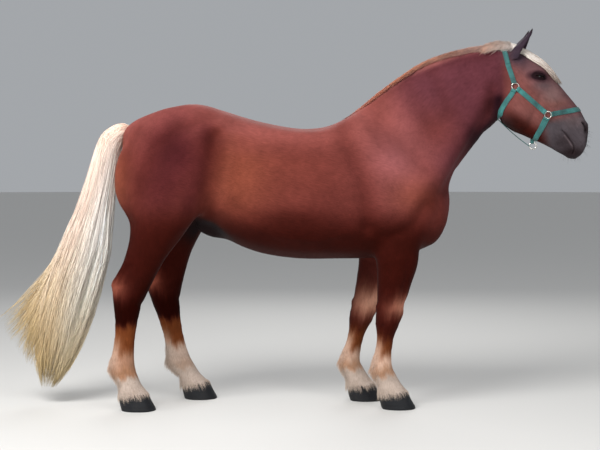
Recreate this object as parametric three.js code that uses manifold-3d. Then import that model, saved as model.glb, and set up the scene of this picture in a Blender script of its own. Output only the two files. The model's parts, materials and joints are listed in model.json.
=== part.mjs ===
// A chestnut stallion of heavy cold-blood type, standing with one hind foot forward, in a webbing halter.
// Life size in millimetres: +X towards the head, +Y towards the horse's left, +Z up, the ground at Z = 0.
import * as THREE from "three";
import { mergeVertices } from "three/addons/utils/BufferGeometryUtils.js";
import Module from "manifold-3d";

const wasm = await Module();
wasm.setup();

// Driving dimensions
const withersHeight = 1540;
const croupHeight = 1593;
const backHeight = 1462;
const dockHeight = 1487;
const bellyHeight = 768;
const bellyHalfWidth = 342;
const hipHalfWidth = 300;
const foreStance = 128; // from the middle plane to the middle of a fore hoof
const hindStance = 184;
const coronetHeight = 80;
const hoofLength = 178;
const hoofHalfWidth = 79;
const eyeRadius = 24;
const webbingWidth = 26;
const ringRadius = 18; // to the middle of the wire
const ringWire = 3;
const seam = 0.4; // gap left where two pieces meet

// Points round each body
const trunkAround = 15;
const neckAround = 14;
const headAround = 16;
const legAround = 12;
const ringDetail = [4, 10]; // round the wire, and round the ring

const degrees = THREE.MathUtils.degToRad;
const sides = [
  { name: "right", sign: -1 },
  { name: "left", sign: 1 },
];

// Catmull-Rom through one number per station, at t stations along.
function along(values, t) {
  const i = Math.min(Math.floor(t), values.length - 2);
  const f = t - i;
  const [a, b, c, d] = [-1, 0, 1, 2].map((k) => values[THREE.MathUtils.clamp(i + k, 0, values.length - 1)]);
  return b + 0.5 * f * (c - a + f * (2 * a - 5 * b + 4 * c - d + f * (3 * (b - c) + d - a)));
}

const power = (value, exponent) => Math.sign(value) * Math.abs(value) ** exponent;

// A body is drawn through stations. Each is a ring across the body, from its front or top line to its rear
// or bottom line in the XZ plane, and half as wide as its width in Y. side moves it off the middle plane,
// turn moves its front out and its rear in, skew moves its widest place to the front, taper widens its
// front and narrows its rear, and square over 2 makes it boxy.
const station = (shape) => ({ side: 0, turn: 0, skew: 0, taper: 0, square: 2.2, ...shape });

// The place on a ring t stations along, at an angle that is 0 at the front line and pi at the rear line.
function skinPoint(stations, t, angle, grow) {
  const value = (key) => along(stations.map((s) => s[key]), t);
  const corner = (key) => {
    const [x, z] = [0, 1].map((k) => along(stations.map((s) => s[key][k]), t));
    return new THREE.Vector3(x, 0, z);
  };
  const front = corner("front");
  const rear = corner("rear");
  const reach = front.clone().sub(rear).multiplyScalar(0.5);
  const up = power(Math.cos(angle), 2 / value("square"));
  const out = power(Math.sin(angle), 2 / value("square"));
  const lift = (up + value("skew") * (1 - up * up)) * (1 + grow / reach.length());
  const width = (value("half") + grow) * out * (1 + value("taper") * up);
  const middle = front.add(rear).multiplyScalar(0.5).addScaledVector(reach, lift);
  return middle.setY(value("side") + value("turn") * up + width);
}

// A closed body through its stations, which run forwards or down; grow thickens it all round.
function loft(stations, { around, perStation, grow = 0 }) {
  const rings = (stations.length - 1) * perStation + 1;
  const points = [];
  const faces = [];
  for (let i = 0; i < rings; i++) {
    for (let j = 0; j < around; j++) {
      points.push(skinPoint(stations, i / perStation, (2 * Math.PI * j) / around, grow));
    }
  }
  const capMiddle = (ring) => {
    const middle = new THREE.Vector3();
    for (let j = 0; j < around; j++) middle.addScaledVector(points[ring * around + j], 1 / around);
    return points.push(middle) - 1;
  };
  const first = capMiddle(0);
  const last = capMiddle(rings - 1);
  const end = (rings - 1) * around;
  for (let j = 0; j < around; j++) {
    const next = (j + 1) % around;
    faces.push(first, j, next, last, end + next, end + j);
    for (let i = 0; i < end; i += around) {
      faces.push(i + j, i + around + j, i + around + next, i + j, i + around + next, i + next);
    }
  }
  return solidOf(new THREE.BufferGeometry().setFromPoints(points).setIndex(faces));
}

function solidOf(geometry) {
  const bare = geometry.clone();
  bare.deleteAttribute("normal");
  bare.deleteAttribute("uv");
  const merged = mergeVertices(bare, 1e-3);
  return new wasm.Manifold(
    new wasm.Mesh({
      numProp: 3,
      vertProperties: merged.attributes.position.array,
      triVerts: new Uint32Array(merged.index.array),
    }),
  );
}

const join = (solids) => solids.reduce((whole, solid) => whole.add(solid));
const largest = (solid) => solid.decompose().reduce((a, b) => (a.volume() > b.volume() ? a : b));

// What lies to the left of a line drawn in the XZ plane, through the whole width.
function beside(solid, from, to, gap = seam / 2) {
  const normal = new THREE.Vector2(from[1] - to[1], to[0] - from[0]).normalize();
  return solid.trimByPlane([normal.x, 0, normal.y], normal.dot(new THREE.Vector2(...from)) + gap);
}

const onSide = (solid, sign, gap = 0) => solid.trimByPlane([0, sign, 0], gap);

// A ball with three radii; lean tips its top forwards.
function muscle({ at, radii, lean = 0, grow = 0, detail = 9 }) {
  const ball = new THREE.SphereGeometry(1, detail, Math.round(detail * 0.7));
  ball.scale(radii[0] + grow, radii[1] + grow, radii[2] + grow);
  ball.rotateY(degrees(lean));
  ball.translate(...at);
  return solidOf(ball);
}

// A flat outline in the XZ plane, given thickness from one Y to another.
function prism(outline, [yLow, yHigh] = [-400, 400]) {
  const shape = new THREE.Shape(outline.map(([x, z]) => new THREE.Vector2(x, z)));
  const block = new THREE.ExtrudeGeometry(shape, { depth: yHigh - yLow, bevelEnabled: false });
  block.rotateX(Math.PI / 2);
  block.translate(0, yHigh, 0);
  return solidOf(block);
}

// The outline of a strip of even width that follows a path.
function strip(path, width) {
  const points = path.map(([x, z]) => new THREE.Vector2(x, z));
  const edge = (side) =>
    points.map((point, i) => {
      const before = points[Math.max(i - 1, 0)];
      const after = points[Math.min(i + 1, points.length - 1)];
      const run = after.clone().sub(before).normalize();
      return [point.x - (run.y * side * width) / 2, point.y + (run.x * side * width) / 2];
    });
  return [...edge(1), ...edge(-1).reverse()];
}

// Trunk, from the rump forwards: front is the top line and rear the line of the belly.
const trunkStations = [
  { front: [-938, dockHeight - 42], rear: [-932, 1310], half: 40 },
  { front: [-900, dockHeight + 6], rear: [-890, 1160], half: 128 },
  { front: [-790, 1535], rear: [-775, 1060], half: 218, skew: 0.1 },
  { front: [-650, 1577], rear: [-635, 1000], half: 272, skew: 0.13 },
  { front: [-515, croupHeight], rear: [-490, 960], half: hipHalfWidth, skew: 0.12 },
  { front: [-370, 1546], rear: [-370, 862], half: 302, skew: 0.03, square: 2.3 },
  { front: [-205, 1499], rear: [-205, 796], half: 328, skew: -0.05 },
  { front: [0, backHeight], rear: [0, bellyHeight], half: bellyHalfWidth, skew: -0.08 },
  { front: [150, 1472], rear: [180, bellyHeight + 1], half: 336, skew: -0.12 },
  { front: [285, withersHeight], rear: [340, 771], half: 304, skew: -0.17, taper: -0.12 },
  { front: [400, 1546], rear: [490, 779], half: 278, skew: -0.16, taper: -0.14 },
  { front: [530, 1480], rear: [606, 803], half: 262, skew: -0.14, taper: -0.1 },
  { front: [640, 1370], rear: [692, 850], half: 240, skew: -0.12 },
  { front: [720, 1250], rear: [744, 925], half: 200, skew: -0.06 },
  { front: [762, 1165], rear: [768, 998], half: 130 },
  { front: [776, 1110], rear: [778, 1056], half: 46 },
].map(station);

// Neck, from inside the chest up to inside the skull: front is the crest and rear the underline.
const neckStations = [
  { front: [215, 1475], rear: [690, 972], half: 224, skew: -0.2, taper: -0.3 },
  { front: [262, 1530], rear: [762, 1107], half: 226, skew: -0.24, taper: -0.42 },
  { front: [325, 1591], rear: [791, 1180], half: 198, skew: -0.26, taper: -0.5 },
  { front: [470, 1702], rear: [818, 1242], half: 154, skew: -0.24, taper: -0.54 },
  { front: [630, 1803], rear: [864, 1303], half: 128, skew: -0.18, taper: -0.5 },
  { front: [790, 1856], rear: [917, 1371], half: 111, skew: -0.1, taper: -0.4 },
  { front: [948, 1884], rear: [975, 1440], half: 98, skew: -0.02, taper: -0.3 },
  { front: [1050, 1883], rear: [1030, 1487], half: 88, taper: -0.2 },
  { front: [1096, 1850], rear: [1070, 1577], half: 68 },
].map(station);

// Head: front runs poll, forehead, nose and lips, and rear runs jaw and chin.
const headStations = [
  { front: [1050, 1872], rear: [1010, 1647], half: 62 },
  { front: [1100, 1885], rear: [1030, 1562], half: 82, taper: -0.05 },
  { front: [1168, 1857], rear: [1062, 1479], half: 88, skew: 0.1, square: 2.4 },
  { front: [1228, 1820], rear: [1117, 1440], half: 94, skew: 0.25, taper: 0.05, square: 2.6 },
  { front: [1284, 1769], rear: [1170, 1419], half: 96, skew: 0.32, taper: 0.08, square: 2.6 },
  { front: [1342, 1706], rear: [1217, 1398], half: 86, skew: 0.22, taper: 0.05, square: 2.6 },
  { front: [1396, 1645], rear: [1270, 1377], half: 73, skew: 0.1, square: 2.5 },
  { front: [1440, 1594], rear: [1312, 1356], half: 65, skew: 0.05, square: 2.4 },
  { front: [1477, 1548], rear: [1349, 1334], half: 61, square: 2.3 },
  { front: [1503, 1497], rear: [1391, 1313], half: 60, square: 2.3 },
  { front: [1514, 1440], rear: [1433, 1303], half: 60, square: 2.3 },
  { front: [1508, 1385], rear: [1470, 1308], half: 50 },
  { front: [1498, 1359], rear: [1486, 1332], half: 30 },
].map(station);

// A leg is a chain of bones that hangs from its top joint, each a length and a lean forwards in degrees.
// The height of the top joint comes from the bones, so that the hoof stands on the ground.
function legJoints(bones, x) {
  const downward = (lean) => new THREE.Vector2(Math.sin(degrees(lean)), -Math.cos(degrees(lean)));
  const steps = bones.map(({ length, lean }) => downward(lean).multiplyScalar(length));
  const joints = [new THREE.Vector2(x, coronetHeight - steps.reduce((sum, step) => sum + step.y, 0))];
  for (const step of steps) joints.push(joints.at(-1).clone().add(step));
  return joints;
}

// The place on a chain a number of bones down from its top joint.
function onChain(joints, place) {
  const i = THREE.MathUtils.clamp(Math.floor(place), 0, joints.length - 2);
  return joints[i].clone().lerp(joints[i + 1], place - i);
}

// Rings square across the leg, or level with the ground near the hoof.
function legStations(joints, rings, sign, stance) {
  return rings.map(({ place, forward, back, inward = 0, turn = 0, level, ...shape }) => {
    const below = onChain(joints, Math.min(place + 0.18, joints.length - 1));
    const down = below.sub(onChain(joints, place - 0.18)).normalize();
    const across = level ? new THREE.Vector2(1, 0.12).normalize() : new THREE.Vector2(-down.y, down.x);
    const middle = onChain(joints, place);
    const front = middle.clone().addScaledVector(across, forward).toArray();
    const rear = middle.clone().addScaledVector(across, -back).toArray();
    return station({ ...shape, front, rear, side: sign * (stance - inward), turn: sign * turn });
  });
}

const foreRings = [
  { place: -0.1, forward: 110, back: 118, half: 70, inward: -50 },
  { place: 0.12, forward: 116, back: 114, half: 80, inward: -50 },
  { place: 0.45, forward: 88, back: 88, half: 70, inward: -34 },
  { place: 0.74, forward: 72, back: 72, half: 58, inward: -20 },
  { place: 0.9, forward: 71, back: 69, half: 58, inward: -15 },
  { place: 1, forward: 67, back: 67, half: 59, inward: -13 },
  { place: 1.16, forward: 52, back: 56, half: 51, inward: -10 },
  { place: 1.32, forward: 42, back: 46, half: 38, inward: -7 },
  { place: 1.6, forward: 40, back: 46, half: 34, inward: -3 },
  { place: 1.84, forward: 47, back: 55, half: 42 },
  { place: 2.02, forward: 56, back: 64, half: 51 },
  { place: 2.3, forward: 56, back: 60, half: 46 },
  { place: 2.65, forward: 64, back: 62, half: 50, level: true },
  { place: 3, forward: 76, back: 76, half: 66, level: true },
];
const hindRings = [
  { place: -0.2, forward: 120, back: 150, half: 60, inward: 90 },
  { place: 0.04, forward: 195, back: 245, half: 112, inward: 44, turn: 30, taper: 0.15 },
  { place: 0.34, forward: 245, back: 268, half: 140, inward: 20, turn: 40, taper: 0.15 },
  { place: 0.6, forward: 238, back: 258, half: 134, inward: 14, turn: 42, taper: 0.1 },
  { place: 0.84, forward: 190, back: 206, half: 112, inward: 12, turn: 34 },
  { place: 1.06, forward: 138, back: 152, half: 88, inward: 14, turn: 20 },
  { place: 1.36, forward: 104, back: 118, half: 70, inward: 14, turn: 8 },
  { place: 1.68, forward: 94, back: 98, half: 54, inward: 12 },
  { place: 1.96, forward: 92, back: 106, half: 55, inward: 10 },
  { place: 2.2, forward: 68, back: 82, half: 50, inward: 8 },
  { place: 2.4, forward: 56, back: 64, half: 41, inward: 6 },
  { place: 2.62, forward: 50, back: 55, half: 36, inward: 4 },
  { place: 2.84, forward: 54, back: 60, half: 42 },
  { place: 3, forward: 64, back: 74, half: 53 },
  { place: 3.3, forward: 58, back: 62, half: 47 },
  { place: 3.62, forward: 60, back: 58, half: 50, level: true },
  { place: 4, forward: 76, back: 76, half: 66, level: true },
];

// partAt is how many bones down the leg leaves the trunk, along a line that rises backwards by partSlope.
const ends = {
  fore: {
    bones: { forearm: 374, cannon: 255, pastern: 133 },
    rings: foreRings,
    stance: foreStance,
    partAt: 0.12,
    partSlope: 0,
  },
  hind: {
    bones: { thigh: 420, gaskin: 350, cannon: 400, pastern: 152 },
    rings: hindRings,
    stance: hindStance,
    partAt: 0.86,
    partSlope: 0.32,
  },
};

// Each leg's pose: where its top joint lies along the body, and how its bones lean.
const legs = [
  { end: "fore", side: "right", sign: -1, top: 505, leans: [-7.5, -6.5, 25] },
  { end: "fore", side: "left", sign: 1, top: 440, leans: [-17, -14, 26] },
  { end: "hind", side: "right", sign: -1, top: -680, leans: [-6.5, -25, -5.5, 20] },
  { end: "hind", side: "left", sign: 1, top: -682, leans: [3.5, -12.5, 11, 35] },
].map((leg) => {
  const end = ends[leg.end];
  const bones = Object.values(end.bones).map((length, i) => ({ length, lean: leg.leans[i] }));
  const joints = legJoints(bones, leg.top);
  const stations = legStations(joints, end.rings, leg.sign, end.stance);
  return { ...end, ...leg, joints, stations };
});
const legBody = (leg, grow = 0) => loft(leg.stations, { around: legAround, perStation: 1, grow });

// The line below which a leg is its own piece, drawn so that the leg lies to the left of it.
function legLine(leg) {
  const at = onChain(leg.joints, leg.partAt);
  const reach = 1000;
  return [
    [at.x + reach, at.y - reach * leg.partSlope],
    [at.x - reach, at.y + reach * leg.partSlope],
  ];
}

// A hoof flares from the coronet to its flat ground face.
function hoof(leg) {
  const top = leg.joints.at(-1);
  const rings = [
    { height: coronetHeight - seam, ahead: 0, half: hoofHalfWidth - 14, length: hoofLength - 30, rise: 9 },
    { height: coronetHeight * 0.5, ahead: 14, half: hoofHalfWidth - 6, length: hoofLength - 12, rise: 5 },
    { height: 10, ahead: 27, half: hoofHalfWidth, length: hoofLength - 1, rise: 0 },
    { height: 0, ahead: 29, half: hoofHalfWidth - 1, length: hoofLength - 2, rise: 0 },
  ];
  const stations = rings.map(({ height, ahead, half, length, rise }) =>
    station({
      front: [top.x + ahead + length / 2, height + rise],
      rear: [top.x + ahead - length / 2, height - rise],
      half,
      side: leg.sign * leg.stance,
      skew: 0.08,
      square: 2.15,
    }),
  );
  return loft(stations, { around: 14, perStation: 1 });
}

const shoulders = (grow) =>
  sides.flatMap(({ sign }) => [
    muscle({ at: [498, sign * 174, 955], radii: [176, 88, 172], lean: -14, grow }),
    muscle({ at: [652, sign * 96, 958], radii: [112, 104, 132], lean: 6, grow }),
  ]);
const sheath = (grow) => muscle({ at: [-452, 0, 925], radii: [118, 46, 56], lean: 12, grow, detail: 8 });

// The trunk with the tops of the legs.
function barrel(grow) {
  const thighs = legs.map((leg) => beside(legBody(leg, grow), ...legLine(leg).reverse(), seam / 2 - grow));
  const ribcage = loft(trunkStations, { around: trunkAround, perStation: 2, grow });
  return join([ribcage, ...thighs, ...shoulders(grow), sheath(grow)]);
}

const cheeks = (grow) =>
  sides.flatMap(({ sign }) => [
    muscle({ at: [1146, sign * 36, 1545], radii: [112, 58, 104], lean: 35, grow }),
    muscle({ at: [1236, sign * 52, 1734], radii: [84, 54, 52], lean: 48, grow }),
    muscle({ at: [1470, sign * 30, 1465], radii: [42, 35, 56], lean: -20, grow, detail: 8 }),
  ]);
const chin = (grow) => muscle({ at: [1424, 0, 1332], radii: [52, 46, 36], lean: 25, grow, detail: 8 });

// Neck and skull together, so that both sides of the cut at the throat match.
const foreEnd = (grow) =>
  join([
    loft(neckStations, { around: neckAround, perStation: 2, grow }),
    loft(headStations, { around: headAround, perStation: 1, grow }),
    ...cheeks(grow),
    chin(grow),
  ]);

const throat = [
  [1075, 1947],
  [1018, 1427],
];
const neckRoot = [
  [205, 1487],
  [745, 1017],
];
const eyeAt = [1238, 82, 1720];

const flesh = foreEnd(0);
const fleshClear = foreEnd(seam);
const trunk = barrel(0);
const trunkClear = barrel(seam);

function eyeBall(sign, grow = 0) {
  const [x, y, z] = eyeAt;
  return muscle({ at: [x, sign * y, z], radii: [eyeRadius, eyeRadius, eyeRadius], grow });
}

const neck = beside(beside(flesh, ...neckRoot), throat[1], throat[0]).subtract(trunkClear);
const skull = beside(flesh, ...throat).subtract(join(sides.map(({ sign }) => eyeBall(sign, seam))));

// An ear is a pointed cup that runs from its tip down to the poll, open forwards and out.
const earShape = [
  { front: [1213, 1975], rear: [1206, 1972], half: 4, out: -6 },
  { front: [1205, 1940], rear: [1180, 1938], half: 19, out: -3 },
  { front: [1201, 1912], rear: [1148, 1908], half: 30, out: 0 },
  { front: [1194, 1884], rear: [1114, 1876], half: 36, out: 1 },
  { front: [1184, 1858], rear: [1094, 1846], half: 34, out: -1 },
  { front: [1176, 1834], rear: [1091, 1818], half: 28, out: -6 },
];
function earCup(sign, { ahead = 0, aside = 0, grow = 0 } = {}) {
  const shape = earShape.map(({ front, rear, half, out }) => ({
    front: [front[0] + ahead, front[1]],
    rear: [rear[0] + ahead, rear[1]],
    half,
    side: sign * (60 + out + aside),
  }));
  return loft(shape.map(station), { around: 8, perStation: 1, grow });
}
function ear(sign) {
  const hollow = earCup(sign, { ahead: 15, aside: 4, grow: -6 });
  return earCup(sign).subtract(hollow).subtract(fleshClear);
}

// Long hair: the tail hangs behind with a lock blown back, the mane lies on the left of the neck, and the
// forelock on the forehead.
const tailStations = [
  { front: [-898, 1415], rear: [-930, 1478], half: 46 },
  { front: [-946, 1400], rear: [-1004, 1456], half: 50 },
  { front: [-978, 1352], rear: [-1062, 1396], half: 56 },
  { front: [-994, 1240], rear: [-1108, 1254], half: 62 },
  { front: [-996, 1095], rear: [-1150, 1112], half: 72 },
  { front: [-990, 955], rear: [-1216, 968], half: 86 },
  { front: [-1002, 805], rear: [-1284, 805], half: 98 },
  { front: [-1046, 615], rear: [-1372, 632], half: 106 },
  { front: [-1090, 475], rear: [-1402, 475], half: 102 },
  { front: [-1132, 362], rear: [-1414, 350], half: 90 },
  { front: [-1184, 250], rear: [-1410, 240], half: 72 },
  { front: [-1236, 155], rear: [-1390, 140], half: 46 },
  { front: [-1296, 84], rear: [-1362, 80], half: 14 },
].map(station);
const plumeStations = [
  { front: [-1250, 600], rear: [-1290, 750], half: 60 },
  { front: [-1345, 560], rear: [-1385, 635], half: 52 },
  { front: [-1455, 490], rear: [-1486, 540], half: 36 },
  { front: [-1572, 462], rear: [-1580, 474], half: 8 },
].map(station);
const tail = join([
  loft(tailStations, { around: 10, perStation: 1 }),
  loft(plumeStations, { around: 8, perStation: 1 }),
]).subtract(trunkClear);

const maneOutline = [
  [225, 1480],
  [300, 1640],
  [640, 1900],
  [1000, 1960],
  [1052, 1950],
  [1046, 1820],
  [1005, 1655],
  [940, 1640],
  [850, 1560],
  [730, 1490],
  [610, 1395],
  [500, 1430],
  [390, 1370],
  [310, 1420],
];
const maneDepth = 18;
const mane = join([
  loft(neckStations, { around: neckAround, perStation: 1, grow: maneDepth }),
  muscle({ at: [1004, 4, 1874], radii: [80, 48, 50], lean: -8 }),
])
  .intersect(prism(maneOutline, [-24, 300]))
  .subtract(fleshClear)
  .subtract(trunkClear);

const forelockStations = [
  { front: [1086, 1905], rear: [1078, 1850], half: 30 },
  { front: [1112, 1926], rear: [1090, 1840], half: 44 },
  { front: [1180, 1888], rear: [1150, 1815], half: 44 },
  { front: [1240, 1842], rear: [1205, 1775], half: 52 },
  { front: [1296, 1788], rear: [1262, 1728], half: 42 },
  { front: [1352, 1724], rear: [1322, 1686], half: 24 },
  { front: [1378, 1690], rear: [1360, 1668], half: 9 },
].map(station);
const forelock = loft(forelockStations, { around: 8, perStation: 1 })
  .subtract(fleshClear)
  .subtract(join(sides.map(({ sign }) => earCup(sign, { grow: seam }))));

// Halter: webbing that lies just off the skin, and rings that lie flat on the cheeks.
const cheekRing = [1117, 1671];
const sideRing = [1288, 1525];
const chinRing = [1226, 1366];
const webbingLift = 1.4;
const webbingDepth = 4.4;
const sleeve = foreEnd(webbingDepth).subtract(foreEnd(webbingLift));

// The place where a path that leaves a ring meets the middle of its wire.
function fromRing(ring, next) {
  const centre = new THREE.Vector2(...ring);
  return new THREE.Vector2(...next).sub(centre).setLength(ringRadius).add(centre).toArray();
}

// Where a line across the horse at x, z leaves the skin on one side.
const skinMesh = new THREE.Mesh(geometryOf(flesh), new THREE.MeshBasicMaterial({ side: THREE.DoubleSide }));
function skinAt(x, z, sign) {
  const ray = new THREE.Raycaster(new THREE.Vector3(x, sign * 500, z), new THREE.Vector3(0, -sign, 0));
  return ray.intersectObject(skinMesh)[0].point;
}

// A ring that lies on the skin round a place on the cheek.
function flatRing([x, z], sign) {
  const reach = ringRadius + ringWire;
  const [ahead, behind] = [skinAt(x + reach, z, sign), skinAt(x - reach, z, sign)];
  const [above, below] = [skinAt(x, z + reach, sign), skinAt(x, z - reach, sign)];
  const out = ahead.sub(behind).cross(above.sub(below)).normalize().multiplyScalar(-sign);
  const wire = new THREE.TorusGeometry(ringRadius, ringWire, ...ringDetail);
  wire.applyQuaternion(new THREE.Quaternion().setFromUnitVectors(new THREE.Vector3(0, 0, 1), out));
  const centre = skinAt(x, z, sign).addScaledVector(out, ringWire + 1.2);
  wire.translate(centre.x, centre.y, centre.z);
  return solidOf(wire);
}

function geometryOf(solid) {
  const { numProp, vertProperties, triVerts } = solid.getMesh();
  const places = new Float32Array((vertProperties.length / numProp) * 3);
  for (let i = 0; i < places.length / 3; i++) {
    places.set(vertProperties.subarray(i * numProp, i * numProp + 3), i * 3);
  }
  const geometry = new THREE.BufferGeometry();
  geometry.setAttribute("position", new THREE.BufferAttribute(places, 3));
  geometry.setIndex(new THREE.BufferAttribute(triVerts, 1));
  geometry.computeVertexNormals();
  return geometry;
}

const materials = {
  coat: new THREE.MeshStandardMaterial({ color: 0x8f4a36, roughness: 0.55 }),
  flaxen: new THREE.MeshStandardMaterial({ color: 0xe0c8ae, roughness: 0.6 }),
  horn: new THREE.MeshStandardMaterial({ color: 0x2b2a2c, roughness: 0.5 }),
  eye: new THREE.MeshStandardMaterial({ color: 0x1c0f0a, roughness: 0.1 }),
  nylon: new THREE.MeshStandardMaterial({ color: 0x1f7a70, roughness: 0.7 }),
  steel: new THREE.MeshStandardMaterial({ color: 0xb9b9b6, roughness: 0.3, metalness: 1 }),
};

const horse = new THREE.Group();
function node(name, solid, material) {
  const mesh = new THREE.Mesh(geometryOf(largest(solid)), material);
  mesh.name = name;
  horse.add(mesh);
}

node("trunk", trunk, materials.coat);
node("neck", neck, materials.coat);
node("head", skull, materials.coat);
for (const { name, sign } of sides) {
  node(`eye_${name}`, eyeBall(sign), materials.eye);
  node(`ear_${name}`, ear(sign), materials.coat);
}
for (const leg of legs) {
  const body = beside(legBody(leg), ...legLine(leg)).subtract(trunkClear);
  node(`${leg.end}leg_${leg.side}`, body, materials.coat);
  node(`hoof_${leg.end}_${leg.side}`, hoof(leg).subtract(legBody(leg, seam)), materials.horn);
}
node("tail", tail, materials.flaxen);
node("mane", mane, materials.flaxen);
node("forelock", forelock, materials.flaxen);

const rings = sides.flatMap(({ name, sign }) => [
  { name: `halter_cheek_ring_${name}`, solid: flatRing(cheekRing, sign) },
  { name: `halter_side_ring_${name}`, solid: flatRing(sideRing, sign) },
]);
for (const { name, solid } of rings) node(name, solid, materials.steel);
const hang = new THREE.TorusGeometry(ringRadius, ringWire, ...ringDetail);
hang.rotateX(Math.PI / 2);
hang.translate(chinRing[0], 0, chinRing[1]);
const chinWire = solidOf(hang);

const clearRings = join(rings.map(({ solid }) => solid));
const straps = {
  halter_crown: [fromRing(cheekRing, [1106, 1702]), [1081, 1780], [1066, 1860], [1062, 1960]],
  halter_throat: [fromRing(cheekRing, [1101, 1634]), [1071, 1592], [1047, 1546], [1038, 1500], [1030, 1400]],
  halter_cheek: [fromRing(cheekRing, sideRing), fromRing(sideRing, cheekRing)],
  halter_noseband: [fromRing(sideRing, [1380, 1541]), [1380, 1541], [1540, 1570]],
  halter_chin: [fromRing(sideRing, [1257, 1455]), [1257, 1455], [1236, 1412], [1216, 1330]],
};
for (const [name, path] of Object.entries(straps)) {
  const strap = sleeve.intersect(prism(strip(path, webbingWidth))).subtract(clearRings);
  if (name === "halter_cheek") {
    for (const side of sides) node(`${name}_${side.name}`, onSide(strap, side.sign), materials.nylon);
  } else {
    node(name, strap, materials.nylon);
  }
}
const jawOutline = [
  [1072, 1490],
  [1072, 1380],
  [1199, 1340],
  [1199, 1430],
];
node("halter_jaw", sleeve.intersect(prism(jawOutline, [-9, 9])), materials.nylon);
node("halter_chin_ring", chinWire, materials.steel);

const box = new THREE.Box3().setFromObject(horse);
const middle = box.getCenter(new THREE.Vector3());
for (const mesh of horse.children) mesh.geometry.translate(-middle.x, -middle.y, -box.min.z);

export default horse;
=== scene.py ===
# A heavy draught stallion standing square in a webbing halter, built as a life-size still model.
import math
import time
import bmesh
import bpy
import numpy as np
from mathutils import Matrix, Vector
from mathutils.bvhtree import BVHTree
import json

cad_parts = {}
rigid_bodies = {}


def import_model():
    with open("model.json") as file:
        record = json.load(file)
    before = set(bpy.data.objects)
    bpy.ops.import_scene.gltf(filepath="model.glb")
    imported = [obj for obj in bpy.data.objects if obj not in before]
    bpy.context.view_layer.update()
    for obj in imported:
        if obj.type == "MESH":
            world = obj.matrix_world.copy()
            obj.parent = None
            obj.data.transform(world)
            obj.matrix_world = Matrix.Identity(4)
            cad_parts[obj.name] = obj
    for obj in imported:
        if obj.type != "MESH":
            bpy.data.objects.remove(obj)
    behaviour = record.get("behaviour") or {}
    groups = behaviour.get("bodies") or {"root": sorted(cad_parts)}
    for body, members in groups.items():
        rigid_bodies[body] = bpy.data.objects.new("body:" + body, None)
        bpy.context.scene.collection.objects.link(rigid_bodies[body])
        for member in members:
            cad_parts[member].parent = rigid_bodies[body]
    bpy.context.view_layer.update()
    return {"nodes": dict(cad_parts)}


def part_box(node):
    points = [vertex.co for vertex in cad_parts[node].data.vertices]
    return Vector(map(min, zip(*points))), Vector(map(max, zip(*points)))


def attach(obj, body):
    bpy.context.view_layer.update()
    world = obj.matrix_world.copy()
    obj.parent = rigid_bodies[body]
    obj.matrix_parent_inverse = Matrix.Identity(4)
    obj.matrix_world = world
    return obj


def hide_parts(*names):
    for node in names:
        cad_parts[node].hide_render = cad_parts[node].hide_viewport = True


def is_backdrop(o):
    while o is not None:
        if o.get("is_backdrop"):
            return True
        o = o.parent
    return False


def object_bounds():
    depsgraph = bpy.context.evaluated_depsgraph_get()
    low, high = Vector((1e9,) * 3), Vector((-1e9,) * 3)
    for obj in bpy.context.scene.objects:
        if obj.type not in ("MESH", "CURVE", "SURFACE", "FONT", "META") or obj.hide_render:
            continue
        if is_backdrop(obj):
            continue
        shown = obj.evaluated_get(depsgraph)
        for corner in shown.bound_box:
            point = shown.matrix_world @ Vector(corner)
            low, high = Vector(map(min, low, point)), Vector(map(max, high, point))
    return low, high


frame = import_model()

started = time.time()
sides = {"right": -1, "left": 1}     # the near side is the horse's right, towards -Y


def report(stage):
    print(f"{time.time() - started:6.1f} s  {stage}", flush=True)


# meshes as number arrays

def arrayOf(items, field, width, kind=np.float32):
    flat = np.empty(len(items) * width, kind)
    items.foreach_get(field, flat)
    return flat.reshape(-1, width)


def pointsOf(mesh):
    return arrayOf(mesh.vertices, "co", 3).astype(float)


def setPoints(mesh, points):
    mesh.vertices.foreach_set("co", points.astype(np.float32).ravel())
    mesh.update()


def normalsOf(mesh):
    return arrayOf(mesh.vertex_normals, "vector", 3).astype(float)


def edgesOf(mesh):
    return arrayOf(mesh.edges, "vertices", 2, np.int32)


def smoothFaces(mesh, smooth=True):
    mesh.polygons.foreach_set("use_smooth", np.full(len(mesh.polygons), smooth))


def setMap(mesh, name, places):
    # a UV map from one place for each vertex
    corners = arrayOf(mesh.loops, "vertex_index", 1, np.int32)[:, 0]
    layer = mesh.uv_layers.new(name=name)
    layer.data.foreach_set("uv", places[corners].astype(np.float32).ravel())


def meshOf(name, vertices, faces):
    mesh = bpy.data.meshes.new(name)
    mesh.from_pydata(np.asarray(vertices).reshape(-1, 3).tolist(), [], faces)
    mesh.update()
    return mesh


def smoothStep(low, high, value):
    t = np.clip((value - low) / (high - low), 0, 1)
    return t * t * (3 - 2 * t)


def unit(vectors):
    return vectors / np.maximum(np.linalg.norm(vectors, axis=-1, keepdims=True), 1e-9)


def relax(points, edges, amount, rounds):
    # each point moves towards the mean of its neighbours by its own amount
    a, b = edges[:, 0], edges[:, 1]
    n = len(points)
    counts = np.maximum(np.bincount(a, minlength=n) + np.bincount(b, minlength=n), 1)[:, None]
    amount = np.broadcast_to(amount, n)[:, None]
    for _ in range(rounds):
        total = np.stack([np.bincount(a, points[b, k], n) + np.bincount(b, points[a, k], n)
                          for k in range(3)], 1)
        points = points + amount * (total / counts - points)
    return points


def newObject(name, mesh):
    made = bpy.data.objects.new(name, mesh)
    bpy.context.scene.collection.objects.link(made)
    return made


def addPiece(name, mesh, material, nodes=()):
    # a piece on the horse's body, in place of the nodes
    mesh.materials.append(material)
    piece = newObject(name, mesh)
    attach(piece, "root")
    if nodes:
        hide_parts(*nodes)
    return piece


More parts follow.
